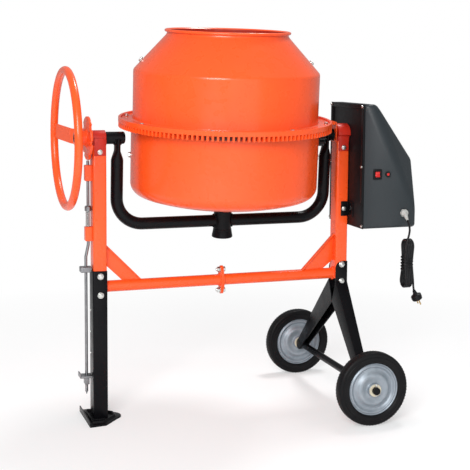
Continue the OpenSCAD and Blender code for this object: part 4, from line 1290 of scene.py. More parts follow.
@dataclass
class Wheel:
    """One solid-tyred wheel on a pressed and galvanised disc."""

    side: str  # the wheel's name
    body: Body  # the body that it turns with
    axle: float = 12.6  # radius of its bush
    hub_half: float = 27  # half the length of the hub
    seat: float = 88  # radius of the tyre's seat
    ribs: int = 72  # number of moulded ribs round the tyre's shoulder

    def make(self) -> None:
        """Make the disc and the tyre."""
        low, high = box_mm(self.side + "_tyre")
        middle = (low + high) / 2
        place = Matrix.Translation(middle) @ TOWARDS_FRONT
        radius, half = (high.z - low.z) / 2, (high.y - low.y) / 2
        disc = Shape()
        edge = self.seat - 0.4
        face = [(self.axle, self.hub_half), (20.5, self.hub_half)] \
            + arc((20.5, self.hub_half - 1.5), 1.5, 90, 0, 3) + [(22, 19)] \
            + arc((26, 18.5), 4, 180, 250, 5) + [(34, 16.2)] + arc((46, 7), 13, 105, 50, 8) \
            + [(60, 9.5), (65, 8.4)] + arc((69, 10.4), 3, 240, 300, 3) + [(74.5, 12.6)] \
            + arc((79, 13.2), 3.2, 160, 40, 6) + [(84.4, 13.0), (edge, 15.4), (edge, 17)]
        back = [(r, -h) for r, h in reversed(face)]
        disc.lathe(face + back, place, 120)
        name = self.side + "_disc"
        dress(disc, name, self.body, GALVANISED, [self.side + "_wheel_disc"], crease=50)
        tyre = Shape()
        wall = [(self.seat, 16.4), (self.seat + 1.5, 18.6), (self.seat + 4, 19.4)] \
            + arc((self.seat + 6.5, half - 1.6), 1.6, 150, 60, 4) + [(radius - 20, half)] \
            + arc((radius - 17.2, half - 0.7), 1.0, 120, 20, 3) + [(radius - 15, half - 1.8)] \
            + arc((radius - 9.5, half - 9.5), 8.6, 78, 24, 7)
        tread = [(radius - 0.4, 9.4), (radius, 8.4), (radius, 5.2), (radius - 1.6, 4.6),
                 (radius - 1.6, 3.2), (radius, 2.6)]
        front = wall + tread
        tyre.lathe(front + [(r, -h) for r, h in reversed(front)], place, 144)
        mesh = coated(tyre, "tyre", TYRE)
        ribs = TEETH.run("ribs", Teeth=self.ribs,
                         Radius=(radius - 4.4) * MM, Finish=TYRE.material(),
                         Size=(6.4 * MM, 3.0 * MM, 2 * (half - 4.6) * MM))
        whole = join(self.side + "_solid_tyre", [mesh, place_mesh(ribs, place)])
        dress(whole, self.side + "_solid_tyre", self.body, TYRE, [self.side + "_tyre"], crease=40)


# ---- yoke ----------------------------------------------------------------------------------


@dataclass
class Yoke:
    """The yoke that carries the drum: two bent tubes, a hub and two trunnions."""

    half: float = 373  # distance from the drum's axis to an arm
    radius: float = 20.5  # outer radius of the tube
    depth: float = 292  # depth of the cross tube under the tilt axis
    bend: float = 90  # radius of the bends
    flat_from: float = -74  # where an arm starts to be pressed flat, above the tilt axis
    flat: Point2 = (9.5, 26)  # half the thickness and half the width of the pressed end
    hub_radius: float = 32  # radius of the hub
    hub_foot: float = -326  # foot of the hub
    hub_top: float = -248.6  # top of the hub

    def make(self) -> None:
        """Make every piece of the yoke."""
        for name, side in (("left", -1), ("right", 1)):
            self._arm(name, side)
        self._hub()
        self._trunnions()
        self._guard()
        self._welds()

    def _arm(self, name: str, side: int) -> None:
        """Make half of the yoke's tube, pressed flat at its upper end."""
        path = smooth_path([(28, 0, -self.depth), (self.half, 0, -self.depth),
                            (self.half, 0, self.flat_from)], self.bend, 22)
        lower = len(path)
        path += [Vector((self.half, 0, self.flat_from + step))
                 for step in (4, 10, 17, 24, 29, 34, 50, 72)]
        section = circle_profile(1.0, 40)
        place = IN_DRUM @ Matrix.Scale(side, 4, (1, 0, 0))
        total = len(path) - 1
        thin, wide = self.flat

        def pressed(share: float) -> Point2:
            """Return the tube's half width and half thickness at a share of its length."""
            index = share * total
            if index < lower:
                return self.radius, self.radius
            t = min(1.0, (index - lower + 1) / 6)
            t = t * t * (3 - 2 * t)
            return self.radius + (thin - self.radius) * t, self.radius + (wide - self.radius) * t

        tube = Shape().sweep(path, section, place, up=Vector((0, 1, 0)), size=pressed)
        new = name + "_arm_tube"
        dress(tube, new, Body.TILT, BLACK, [name + "_yoke_arm"], crease=50)

    def _hub(self) -> None:
        """Make the hub with its turned ends and the flared cap below it."""
        r, foot, top = self.hub_radius, self.hub_foot, self.hub_top
        hub = Shape().lathe(
            [(15.4, top), (r - 2, top), (r, top - 2), (r, top - 9), (r - 1.4, top - 10.5),
             (r - 1.4, foot + 6), (r, foot + 4.5), (r, foot), (15.4, foot)], IN_DRUM, 96)
        dress(hub, "hub_barrel", Body.TILT, BLACK, ["yoke_hub"])
        cap = Shape().lathe(
            [(0, foot - 20.5), (28, foot - 20.5), (29.2, foot - 2), (31, foot - 0.2),
             (32.5, foot - 0.2), (33.0, foot - 5), (35, foot - 14)]
            + arc((31.5, foot - 20.2), 4.4, 20, -90, 7) + [(16, foot - 24.6)]
            + arc((0, foot - 12), 18.5, -55, -90, 4)[1:-1] + [(0, foot - 24.9)], IN_DRUM, 96)
        dress(cap, "hub_dust_cap", Body.TILT, BLACK, ["hub_cap"])
        seal = Shape().lathe([(15.5, top + 0.3), (30, top + 0.3), (30.6, top + 1.2),
                              (29.4, top + 3.4), (15.5, top + 3.4)], IN_DRUM, 72)
        dress(seal, "hub_seal", Body.TILT, RED)
        paint_node("hub_bearings", STEEL)

    def _trunnions(self) -> None:
        """Make the two black stubs that the yoke hangs from, with their journals."""
        left_low, left_high = box_mm("left_trunnion")
        right_low, right_high = box_mm("right_trunnion")
        bracket_left = box_mm("left_pivot_bracket")[1].x
        bracket_right = box_mm("right_pivot_bracket")[0].x
        along = TILTED @ ALONG_X
        big = self.radius
        left = Shape()
        left.lathe([(0, left_low.x), (14.2, left_low.x), (15, left_low.x + 0.8),
                    (15, bracket_left + 0.5), (big - 1, bracket_left + 0.5),
                    (big, bracket_left + 1.5), (big, left_high.x - 6)]
                   + arc((big - 6, left_high.x - 6), 6, 0, 90, 6) + [(0, left_high.x)], along, 72)
        dress(left, "left_stub", Body.TILT, BLACK, ["left_trunnion"])
        right = Shape()
        right.lathe([(10.1, right_low.x), (big - 1, right_low.x), (big, right_low.x + 1),
                     (big, bracket_right - 1.5), (big - 1, bracket_right - 0.5),
                     (17, bracket_right - 0.5), (17, right_high.x - 0.8), (16.2, right_high.x),
                     (10.1, right_high.x)], along, 72)
        dress(right, "right_stub", Body.TILT, BLACK, ["right_trunnion"])

    def _guard(self) -> None:
        """Make the folded sheet over the pinion, with a rounded fold."""
        low, high = box_mm("pinion_guard")
        wide = (high.y - low.y) / 2 - 1.5
        x0, x1 = low.x, high.x
        fold = smooth_path([(x0, 0, 48.5), (x1 - 1.5, 0, 48.5), (x1 - 1.5, 0, -24)], 9, 8)
        sheet = [(-wide, -1.5), (wide, -1.5), (wide, 1.5), (-wide, 1.5)]
        shape = Shape().sweep(fold, sheet, TILTED, up=Vector((0.7, 0, 0.7)))
        shape.box((x0, -wide, 38), (x1 - 6, 3 - wide, 48.5), TILTED, bevel=1.0)
        dress(shape, "pinion_cover", Body.TILT, ORANGE, ["pinion_guard"])

    def _welds(self) -> None:
        """Lay the welds between arms, hub and trunnions."""
        lines = []
        for side in (-1, 1):
            ring = []
            for i in range(33):
                a = 2 * math.pi * i / 32
                y, z = (self.radius + 0.4) * math.cos(a), (self.radius + 0.4) * math.sin(a)
                x = side * (math.sqrt(self.hub_radius ** 2 - y * y) + 0.5)
                ring.append(IN_DRUM @ Vector((x, y, z - self.depth)))
            lines.append(ring)
            for face in (-1, 1):
                x = DRUM_POS.x + side * self.half + face * (self.flat[0] + 0.3)
                half_ring = arc((0, 0), self.radius + 0.4, 190, 350, 20)
                lines.append([TILTED @ Vector((x, y, z)) for y, z in half_ring])
        dress(WELDS.lay("yoke_welds", lines, BLACK, bead=3.2), "yoke_welds", Body.TILT, BLACK)


# ---- handwheel and lock --------------------------------------------------------------------


@dataclass
class Handwheel:
    """The tipping handwheel, its dished strap, the locking disc and the nut."""

    tube: float = 13  # radius of the rim's tube
    strap_x: float = -552  # outer face of the strap's flat middle
    strap_half: float = 25  # half the width of the strap
    strap: float = 5  # thickness of the strap
    disc_thick: float = 8  # thickness of the locking disc
    notch_width: float = 15  # width of a notch
    notch_depth: float = 12  # depth of a notch

    def make(self) -> None:
        """Make the rim, the strap, the disc, its boss and the nut."""
        low, high = box_mm("handwheel_rim")
        self.rim_x = (low.x + high.x) / 2
        self.rim = (high.x - low.x) / 2
        outer = max(Vector((0, v.y, v.z - PIVOT.z)).length for v in (low, high)) / math.sqrt(2)
        self.ring = outer - self.tube
        self._rim()
        self._strap()
        self._disc()
        self._nut()

    def _rim(self) -> None:
        """Make the rim's tube and the bead where its ends meet."""
        path = [Vector((self.rim_x, y, z)) for y, z in arc((0, 0), self.ring, 0, 357.5, 143)]
        shape = Shape().sweep(path, circle_profile(self.tube, 32), TILTED, closed=True,
                              up=Vector((1, 0, 0)))
        rim = shape.mesh("tipping_wheel_rim")
        rim.materials.append(ORANGE.material())
        seam = [Vector((self.rim_x + x, self.ring + y, 0))
                for x, y in arc((0, 0), self.tube - 1.7, 0, 360, 24)]
        weld = WELDS.lay("rim_seam", [[TILTED @ p for p in seam]], ORANGE, bead=2.0, step=1.8)
        dress(join("tipping_wheel_rim", [rim, weld]), "tipping_wheel_rim", Body.TILT, ORANGE,
              ["handwheel_rim"], crease=60)

    def _strap(self) -> None:
        """Make the dished strap across the rim and weld it at both ends."""
        x0, x1 = self.strap_x - self.strap / 2, self.rim_x
        reach = self.ring - self.tube + 1
        half = [(x0, 0, 0), (x0, 42, 0), (x0 - 10, 64, 0), (x1 + 5, 180, 0), (x1 + 1, reach, 0)]
        mirrored = [(x, -y, z) for x, y, z in reversed(half)]
        path = smooth_path(mirrored[:-1] + half[1:], 26, 6)
        a, b = self.strap_half, self.strap / 2
        section = [(-b, -a + 1), (-b + 1, -a), (b - 1, -a), (b, -a + 1),
                   (b, a - 1), (b - 1, a), (-b + 1, a), (-b, a - 1)]
        shape = Shape().sweep(path, section, TILTED, up=Vector((0, 0, 1)))
        strap = coated(shape, "strap", ORANGE)
        lines = [[TILTED @ Vector((x1 + 1 + face * 3.2, side * (reach - 1), z))
                  for z in range(-22, 23, 4)] for side in (-1, 1) for face in (-1, 1)]
        welds = WELDS.lay("strap_welds", lines, ORANGE, bead=2.6, step=2.2)
        dress(join("tipping_wheel_strap", [strap, welds]), "tipping_wheel_strap", Body.TILT, ORANGE,
              ["handwheel_strap"], crease=40)

    def _disc(self) -> None:
        """Make the notched disc that the pin locks, with its boss."""
        low, high = box_mm("locking_disc")
        radius = (high.z - low.z) / 2
        depth = radius - self.notch_depth
        outline: list[Point2] = []
        at = -180.0
        # the two end notches also take the pin where the tilt stops, at 125 degrees
        for middle in (-122.5, -80, -40, 0, 40, 80, 122.5):
            wider = radius * math.sin(math.radians(2.5)) if abs(middle) > 120 else 0
            half = self.notch_width / 2 + wider
            spread = math.degrees(math.asin(half / radius))
            steps = max(2, int((middle - spread - at) / 4))
            outline += arc((0, 0), radius, at - 90, middle - spread - 90, steps)
            a = math.radians(middle - 90)
            along, across = Vector((math.cos(a), math.sin(a))), Vector((-math.sin(a), math.cos(a)))
            outline += [tuple(along * (depth + out * half) + across * (aside * half))
                        for out, aside in ((0.5, -1), (0, -0.5), (0, 0.5), (0.5, 1))]
            at = middle + spread
        outline += arc((0, 0), radius, at - 90, 180 - 90, 12)[:-1]
        upright = Matrix.Translation((0, 0, PIVOT.z))
        shape = Shape()
        shape.slab(outline, high.x - self.disc_thick, high.x, upright @ ACROSS_X, bevel=0.8)
        shape.lathe([(15.1, low.x), (25, low.x), (26, low.x + 1),
                     (26, high.x - self.disc_thick + 1), (15.1, high.x - self.disc_thick + 1)],
                    upright @ ALONG_X, 64)
        disc = coated(shape, "disc", ORANGE)
        ring = ring_line(upright @ ALONG_X, 26.8, high.x - self.disc_thick - 0.4)
        weld = WELDS.lay("disc_weld", [ring], ORANGE, bead=2.6, step=2.2)
        dress(join("tilt_disc", [disc, weld]), "tilt_disc", Body.TILT, ORANGE, ["locking_disc"])

    def _nut(self) -> None:
        """Make the big nut that holds the strap on its shaft."""
        low, high = box_mm("handwheel_nut")
        shape = Shape()
        flat = arc((0, 0), 23.5, 0, 300, 5)
        shape.slab(flat, low.x, high.x - 1.5, TILTED @ ALONG_X, bevel=1.4, bevel_steps=3)
        shape.lathe([(15.2, high.x - 2), (26, high.x - 2), (26, high.x), (15.2, high.x)],
                    TILTED @ ALONG_X, 56)
        dress(shape, "wheel_nut", Body.TILT, ZINC, ["handwheel_nut"])


@dataclass
class Lock:
    """The foot-worked lock: its rod, pedal, spring and the lugs that guide it."""

    rod: float = 5  # radius of the rod
    turns: float = 9  # turns of the spring
    coil: float = 18  # outer diameter of the spring
    wire: float = 2.2  # thickness of its wire
    cup: float = 18  # height of the cup over the spring

    def make(self) -> None:
        """Make the rod, the pedal, the spring and the guides."""
        low, high = box_mm("lock_rod")
        spring_low, spring_high = box_mm("lock_spring")
        self.upper_x = (spring_low.x + spring_high.x) / 2
        lower_x = low.x + self.rod
        guide_low, _ = box_mm("lock_guides")
        joggle = spring_low.z - 60
        path = smooth_path([(lower_x, 0, low.z + 8), (lower_x, 0, joggle - 40),
                            (self.upper_x, 0, joggle), (self.upper_x, 0, high.z - 1)], 30, 8)
        shape = Shape().sweep(path, circle_profile(self.rod - 0.05, 28), up=Vector((0, 1, 0)))
        top = Matrix.Translation((self.upper_x, 0, 0))
        shape.lathe([(0, high.z - 3), (4.9, high.z - 3), (4.9, high.z - 1)]
                    + arc((3.7, high.z - 1.2), 1.2, 0, 90, 4) + [(0, high.z)], top, 32)
        tip = Matrix.Translation((lower_x, 0, low.z))
        shape.lathe([(0, 0), (1.6, 0), (4.9, 18), (4.9, 22), (0, 22)], tip, 32)
        crown = Matrix.Translation((self.upper_x, 0, spring_high.z + 1))
        skirt = self.cup * 0.6
        shape.lathe([(4.8, 0), (9.8, 0), (9.8, -skirt), (11, -skirt), (11.3, -self.cup * 0.5),
                     (11.3, 3), (8.4, 5.6), (4.8, 5.6)], crown, 48)
        dress(shape, "lock_bar", Body.LOCK, STEEL, ["lock_rod"])
        self._pedal(lower_x)
        self._spring(spring_low, spring_high)
        self._guides(guide_low)

    def _pedal(self, rod_x: float) -> None:
        """Make the pedal's tread, with raised grips, and its block on the rod."""
        low, high = box_mm("lock_pedal")
        shape = Shape()
        shape.box((low.x + 3, low.y, high.z - 16), (high.x, high.y, high.z - 9), bevel=1.6,
                  bevel_steps=3)
        shape.box((low.x, low.y, high.z - 16), (low.x + 4.2, high.y, high.z), bevel=1.8,
                  bevel_steps=3)
        shape.box((rod_x - 8, low.y + 10, low.z), (rod_x + 8, high.y - 6, high.z - 15), bevel=1.5)
        for i in range(4):
            y = low.y + 6 + i * 9
            shape.box((low.x + 8, y, high.z - 10), (rod_x - 9, y + 3, high.z - 7.8), bevel=0.8)
        dress(shape, "foot_pedal", Body.LOCK, STEEL, ["lock_pedal"])

    def _spring(self, low: Vector, high: Vector) -> None:
        """Wind the spring on the rod."""
        tree = coil_tree()
        mesh = tree.run("lock_coil", Turns=self.turns,
                        Radius=(self.coil - self.wire) / 2 * MM, Wire=self.wire / 2 * MM,
                        Height=(high.z - low.z - self.wire) * MM, Finish=ZINC.material())
        place_mesh(mesh, Matrix.Translation((self.upper_x, 0, low.z + self.wire / 2)))
        dress(mesh, "lock_coil", Body.STAND, ZINC, ["lock_spring"], crease=60)

    def _guides(self, low: Vector) -> None:
        """Make the lugs on the post and on the leg that guide the rod."""
        post = box_mm("left_post")[0].x
        leg = box_mm("left_leg")[0].x
        spring = box_mm("lock_spring")[0].z
        disc = box_mm("locking_disc")[0].z
        shape = Shape()
        for base, height in ((disc - 68.5, 52), (spring - 47, 47)):
            shape.box((self.upper_x - 11, -14, base), (post + 0.5, 14, base + height), bevel=2.2,
                      bevel_steps=3)
        dress(shape, "rod_lugs", Body.STAND, ORANGE, ["lock_guides"])
        lug = Shape().box((low.x, -16, 504), (leg + 0.5, 16, 522), bevel=2.2, bevel_steps=3)
        dress(lug, "leg_lug", Body.STAND, STEEL)


# ---- drum ----------------------------------------------------------------------------------


@dataclass
class Drum:
    """The drum: pan, upper shell, ring gear, blades and their fasteners.

    Heights are above the tilt axis, along the drum's own axis.
    """

    pan: float = 318.5  # outer radius of the pan
    upper: float = 314  # outer radius of the upper shell
    sheet: float = 3  # thickness of the sheet
    floor: float = -239.6  # height of the pan's flat middle
    dish: float = 1000  # radius of the dished floor
    corner: float = 42  # radius between floor and wall
    # heights of the pan's flange, the shell's flange and the top of both
    flange: Point3 = (50, 53, 56)
    crease: float = 223  # height of the crease between wall and cone
    neck: float = 203  # radius of the mouth's neck
    lip: float = 358  # height of the mouth's lip
    ring: float = 362  # outer radius of the ring gear
    bolt_circle: float = 341  # radius on which the flange's bolts stand
    teeth: int = 140  # number of teeth on the ring
    tooth: Point2 = (30, 46)  # heights of a tooth's foot and root
    lip_top: float = 62  # top of the ring's raised lip
    blade_turns: Sequence[float] = (168, 348)  # where the two blades stand, in degrees

    def make(self) -> None:
        """Make every piece of the drum."""
        self._pan()
        self._cone()
        self._ring()
        self._fasteners()
        self._blades()
        paint_node("spindle", ORANGE)

    def _lined(self, outer: Sequence[Point2], inner: Sequence[Point2], name: str,
               steps: int = 160) -> bpy.types.Mesh:
        """Turn a shell whose inside has the inner coat.

        Args:
            outer: The outside's profile.
            inner: The inside's profile, going on from the outside's end.
            name: The mesh's name.
            steps: Segments round the axis.

        Returns:
            The shell, with two finishes.
        """
        mesh = Shape().lathe(list(outer) + list(inner), IN_DRUM, steps).mesh(name)
        mesh.materials.append(ORANGE.material())
        mesh.materials.append(INNER.material())
        back = IN_DRUM.inverted()
        for face in mesh.polygons:
            middle = back @ (face.center / MM)
            normal = back.to_3x3() @ face.normal
            across = Vector((middle.x, middle.y, 0))
            inwards = across.length > 1 and normal.dot(across.normalized()) < -0.12
            upwards = normal.z > 0.5 and middle.z < 0 and across.length < self.pan - 2
            face.material_index = int((inwards or upwards) and middle.z < self.lip - 6)
        return mesh

    def _pan(self) -> None:
        """Make the pan, with its dished floor and its bolting flange."""
        centre = (self.pan - self.corner, -160)
        top = self.floor + math.sqrt(self.dish ** 2 - 80 ** 2)
        start = math.degrees(math.asin(80 / self.dish)) - 90
        meet = math.degrees(math.atan2(centre[1] - top, centre[0]))
        rim = self.bolt_circle + 11
        low, mid, _ = self.flange
        outer = [(0, self.floor), (80, self.floor)] + arc((0, top), self.dish, start + 1, meet, 8) \
            + arc(centre, self.corner, meet, 0, 16) + [(self.pan, -60), (self.pan, low - 5)] \
            + arc((self.pan + 4, low - 4), 4, 180, 90, 4) + [(rim, low), (rim, mid - 0.1)]
        inner = [(self.pan - self.sheet, mid - 0.1), (self.pan - self.sheet, -60)] \
            + arc(centre, self.corner - self.sheet, 0, meet, 16) \
            + arc((0, top), self.dish - self.sheet, meet, start + 1, 8) \
            + [(80, self.floor + self.sheet), (0, self.floor + self.sheet)]
        mesh = self._lined(outer, inner, "pan_shell")
        dress(mesh, "pan_shell", Body.DRUM, ORANGE, ["drum_pan"], crease=40)

    def _cone(self) -> None:
        """Make the upper shell: wall, crease, cone, neck and the rolled lip."""
        _, mid, high = self.flange
        rim = self.bolt_circle + 11
        neck_foot = self.lip - 18
        slope = math.degrees(math.atan2(neck_foot - self.crease, self.upper - self.neck))
        bend, roll = 16, 5
        start = (self.upper - bend, self.crease - 8)
        bent = arc(start, bend, 0, 90 - slope, 6)
        bent_in = arc(start, bend - self.sheet, 90 - slope, 0, 6)
        outer = [(rim, mid + 0.1), (rim, high), (self.upper + 4, high)] \
            + arc((self.upper + 4, high + 4), 4, 270, 180, 4) + bent \
            + [(self.neck + 5, neck_foot - 3), (self.neck + 1.6, neck_foot + 2),
               (self.neck + 0.6, self.lip - 2 * roll - 1)] \
            + arc((self.neck + roll - 1, self.lip - roll), roll, -128, 140, 16)
        inside = self.neck - self.sheet
        inner = [(inside + 0.4, self.lip - 4), (inside + 0.6, neck_foot + 1),
                 (self.neck + 2, neck_foot - 5)] + bent_in + [(self.upper - self.sheet, mid + 0.1)]
        mesh = self._lined(outer, inner, "upper_shell")
        dress(mesh, "upper_shell", Body.DRUM, ORANGE, ["drum_cone"], crease=40)

    def _ring(self) -> None:
        """Make the ring gear: its web, its raised lip, its teeth and, at their roots, a band of
        painted shade.
        """
        foot, root = self.tooth
        inside, ring, top = self.pan + 3, self.ring, self.lip_top
        web = Shape().lathe(
            [(inside, root), (ring - 0.8, root), (ring, root + 0.8), (ring, top - 1),
             (ring - 1, top), (ring - 7.6, top), (ring - 8.6, top - 1), (ring - 8.6, root + 6),
             (ring - 10.6, root + 4), (inside, root + 4)], IN_DRUM, 280)
        face = 22.4
        teeth = TEETH.run("ring_teeth", Teeth=self.teeth,
                          Radius=(ring - 0.7 - face / 2) * MM, Finish=ORANGE.material(),
                          Size=(face * MM, 6.7 * MM, (root - foot + 0.8) * MM),
                          Turn=math.pi / self.teeth)
        lifted = IN_DRUM @ Matrix.Translation((0, 0, (foot + root + 0.8) / 2))
        # the dark band at the tooth roots is painted shade for the gaps between the teeth
        roots = Shape().lathe(
            [(ring - 26, foot + 0.3), (ring - 23.2, foot + 0.3), (ring - 23.2, root + 0.4),
             (ring - 26, root + 0.4)], IN_DRUM, 140)
        mesh = join("toothed_ring", [coated(web, "web", ORANGE), place_mesh(teeth, lifted),
                                     coated(roots, "roots", ROOT_SHADE)])
        dress(mesh, "toothed_ring", Body.DRUM, ORANGE, ["ring_gear"], crease=35)

    def _fasteners(self) -> None:
        """Set the flange's bolts and nuts, and the blades' bolts."""
        high = self.flange[2]
        root = self.tooth[1]
        heads, nuts = [], []
        for i in range(8):
            a = math.radians(45 * i + 20)
            x, y = self.bolt_circle * math.cos(a), self.bolt_circle * math.sin(a)
            heads.append(Seat((x, y, high), (0, 0, 1), 8))
            nuts.append(Seat((x, y, root), (0, 0, -1), 8))
        meshes = [FASTENERS.set_on("flange_heads", FastenerKind.HEX_BOLT, heads, ZINC, IN_DRUM),
                  FASTENERS.set_on("flange_nuts", FastenerKind.HEX_NUT, nuts, ZINC, IN_DRUM)]
        dress(join("flange_bolts", meshes), "flange_bolts", Body.DRUM, ZINC, ["ring_bolts"])
        seats = []
        for turn in self.blade_turns:
            spin = Matrix.Rotation(math.radians(turn), 3, "Z")
            for radius, height, slope in self._blade_seats():
                tilt = math.radians(slope)
                out = spin @ Vector((math.cos(tilt), 0, math.sin(tilt)))
                seats.append(Seat(tuple(spin @ Vector((radius, 0, height))), tuple(out), 10))
        bolts = FASTENERS.set_on("blade_heads", FastenerKind.HEX_BOLT, seats, ZINC, IN_DRUM)
        dress(bolts, "blade_heads", Body.DRUM, ZINC, ["blade_bolts"])

    def _blade_seats(self) -> list[Point3]:
        """Return each bolt's radius, height and slope on the drum."""
        return [(self.pan, -68, 0), (self.upper - 28.2, 252, 43)]

    def _blades(self) -> None:
        """Make the two blades: bent paddles on tabs, painted as the inside is."""
        shape = Shape()
        edge = self.upper - self.sheet - 4
        outline = [(edge, -110), (edge, 218), (edge - 44, 268)] \
            + arc((252, 240), 16, 140, 180, 4) + [(207, 188), (192, 62), (206, -58)] \
            + arc((262, -106), 18, 200, 270, 5)
        for turn in self.blade_turns:
            place = IN_DRUM @ Matrix.Rotation(math.radians(turn), 4, "Z")
            shape.slab(outline, 0, 5, place @ Matrix.Translation((0, 17, 0)) @ TOWARDS_FRONT,
                       bevel=1.2)
            for radius, height, slope in self._blade_seats():
                seat = place @ Matrix.Translation((radius, 0, height)) \
                    @ Matrix.Rotation(math.radians(90 - slope), 4, "Y")
                depth = radius - edge if not slope else 8
                shape.box((-18, -14, -depth - 0.8), (18, 16, -self.sheet - 1.5), seat, bevel=0.9)
        dress(shape, "paddles", Body.DRUM, INNER, ["mixing_blades"])


# ---- drive and housing ---------------------------------------------------------------------


@dataclass
class Drive:
    """The drive inside the housing, whose own shapes are right and only need their finish."""

    iron: Sequence[str] = ("pinion", "drive_pulley", "motor_pulley")
    black: Sequence[str] = ("motor", "motor_bracket")
    fins: int = 9
    fin_step: float = 7.5

    def make(self) -> None:
        """Dress the pinion, the pulleys, the belt and the motor."""
        for node in self.iron:
            paint_node(node, IRON)
        for node in self.black:
            paint_node(node, BLACK)
        paint_node("drive_belt", BELT)
        paint_node("drive_shaft", STEEL)
        self._fins()

    def _fins(self) -> None:
        """Stand cooling fins along the motor's upper side."""
        low, high = box_mm("motor")
        middle = (low + high) / 2
        first = middle.y - self.fin_step * (self.fins - 1) / 2
        mesh = fin_tree().run(
            "motor_fins", Count=self.fins, Pitch=(0.0, self.fin_step * MM, 0.0),
            Start=tuple(Vector((middle.x, first, high.z + 1)) * MM), Finish=BLACK.material(),
            Size=((high.x - low.x) * 0.7 * MM, 1.8 * MM, 10 * MM))
        dress(mesh, "motor_fins", Body.STAND, BLACK)


@dataclass
class Housing:
    """The plastic motor housing with its back plate, switch and reset button."""

    thick: float = 3  # thickness of the cover
    top_x: float = 449.5  # how far out the cover's upper end stands
    shoulder: float = 863  # height at which the cover is narrowed
    narrowed: float = 42  # how much it is narrowed there, on each side
    low_front: float = 690  # height of the top of the cover's upright outer face
    round: float = 12  # radius of the cover's edges

    def make(self) -> None:
        """Make the cover, the back plate, the screws and the controls."""
        self.low, self.high = box_mm("housing_cover")
        self._cover()
        self._back()
        self._switch()
        self._reset()

    def _cover(self) -> None:
        """Make the moulded cover from its corner points, rounded all over."""
        low, high = self.low, self.high
        r, t = self.round, self.thick
        part = bmesh.new()
        corners = []
        x0 = low.x
        for y in (low.y, high.y):
            sign = 1 if y < 0 else -1
            corners += [(x0, y, low.z), (x0, y, high.z), (self.top_x, y, high.z),
                        (high.x, y + sign * self.narrowed, self.shoulder),
                        (high.x, y, self.low_front), (high.x, y, low.z)]
        for corner in corners:
            part.verts.new(corner)
        solid = bmesh.ops.convex_hull(part, input=part.verts)
        bmesh.ops.delete(part, geom=solid["geom_interior"] + solid["geom_unused"], context="VERTS")
        bmesh.ops.dissolve_limit(part, angle_limit=math.radians(2), verts=part.verts,
                                 edges=part.edges)
        bmesh.ops.recalc_face_normals(part, faces=part.faces)
        edges = [e for e in part.edges if e.calc_face_angle(0) > math.radians(12)
                 and not all(abs(v.co.x - x0) < 0.1 for v in e.verts)]
        bmesh.ops.bevel(part, geom=edges, offset=r, segments=6, profile=0.5, affect="EDGES",
                        clamp_overlap=True)
        bmesh.ops.delete(part, geom=[f for f in part.faces if f.normal.x < -0.95
                                     and abs(f.calc_center_median().x - x0) < 0.5],
                         context="FACES_ONLY")
        mesh = bpy.data.meshes.new("motor_cover")
        bmesh.ops.transform(part, matrix=Matrix.Scale(MM, 4), verts=part.verts)
        part.to_mesh(mesh)
        part.free()
        piece = dress(mesh, "motor_cover", Body.STAND, SLATE, ["housing_cover"], crease=40)
        walls = piece.modifiers.new("walls", "SOLIDIFY")
        walls.thickness = t * MM
        walls.offset = -1
        walls.use_even_offset = True

    def _back(self) -> None:
        """Make the folded back plate and its screws."""
        low, high = box_mm("housing_back")
        plate = low.x + 4
        shape = Shape()
        shape.box((plate, low.y, low.z), (high.x, high.y, high.z), bevel=1.2)
        shape.box((low.x, low.y, low.z + 90), (plate + 1, low.y + 16, high.z), bevel=1.4)
        shape.box((low.x, high.y - 16, low.z), (plate + 1, high.y, high.z), bevel=1.4)
        shape.box((low.x, low.y + 15, high.z - 16), (plate + 1, high.y - 15, high.z), bevel=1.4)
        # the back plate's near-black finish is painted shade on the slate plastic
        dress(shape, "back_plate", Body.STAND, SHADED_PANEL, ["housing_back"])
        middle = (low.z + high.z) / 2
        seats = []
        for y in (low.y + 8, high.y - 8):
            for z in (low.z + 10, middle, high.z - 8):
                x = plate if y < 0 and z < low.z + 50 else low.x
                seats.append(Seat((x, y, z), (-1, 0, 0), 5))
        screws = FASTENERS.set_on("cover_screws", FastenerKind.HEX_BOLT, seats, ZINC)
        dress(screws, "cover_screws", Body.STAND, ZINC, ["housing_screws"])

    def _switch(self) -> None:
        """Make the switch: a bezel with its sleeve, and the rocker with its two faces."""
        low, high = box_mm("switch_frame")
        place = Matrix.Translation(((low.x + high.x) / 2, low.y + 5, (low.z + high.z) / 2))
        bezel = Shape()
        outer = rounded_rectangle((0, 0), (16, 18), 3.5)
        inner = rounded_rectangle((0, 0), (8.6, 10.6), 1.0)
        wide = 7.4
        section = [(0, 0.2), (0, 3.6), (1.6, 5.0), (6.2, 5.0), (wide, 3.8), (wide, 0.2)]
        points = []
        for across, up in section:
            for (ox, oz), (ix, iz) in zip(outer, inner):
                x, z = (a + (b - a) * across / wide for a, b in ((ox, ix), (oz, iz)))
                points.append(Vector((x, -up, z)))
        bezel.add(points, band_faces(len(section), len(outer), closed=True), place)
        for side in (-1, 1):
            bezel.box((side * 9.7 - 1.1, 0, -12.6), (side * 9.7 + 1.1, 16, 12.6), place, bevel=0.3)
            bezel.box((-9.6, 0, side * 11.7 - 1.0), (9.6, 16, side * 11.7 + 1.0), place, bevel=0.3)
        bezel.box((-8.6, 12.2, -10.7), (8.6, 15.6, 10.7), place, bevel=0.3)
        dress(bezel, "switch_bezel", Body.STAND, BLACK_PLASTIC, ["switch_frame"])
        outline = [(-9, -6.5), (-4.5, -5.9), (0, -4.6), (4.5, -6.2), (9, -8.5), (9.2, -1), (4, 6),
                   (-4, 6), (-9.2, -1)]
        turn = place @ ALONG_X
        rocker = Shape().slab(outline, -7.9, 7.9, turn, bevel=0.7, bevel_steps=3)
        rocker.lathe([(0, -9.5), (1.9, -9.5), (1.9, 9.5), (0, 9.5)], turn, 20)
        dress(rocker, "rocker_key", Body.ROCKER, RED_PLASTIC, ["switch_rocker"])

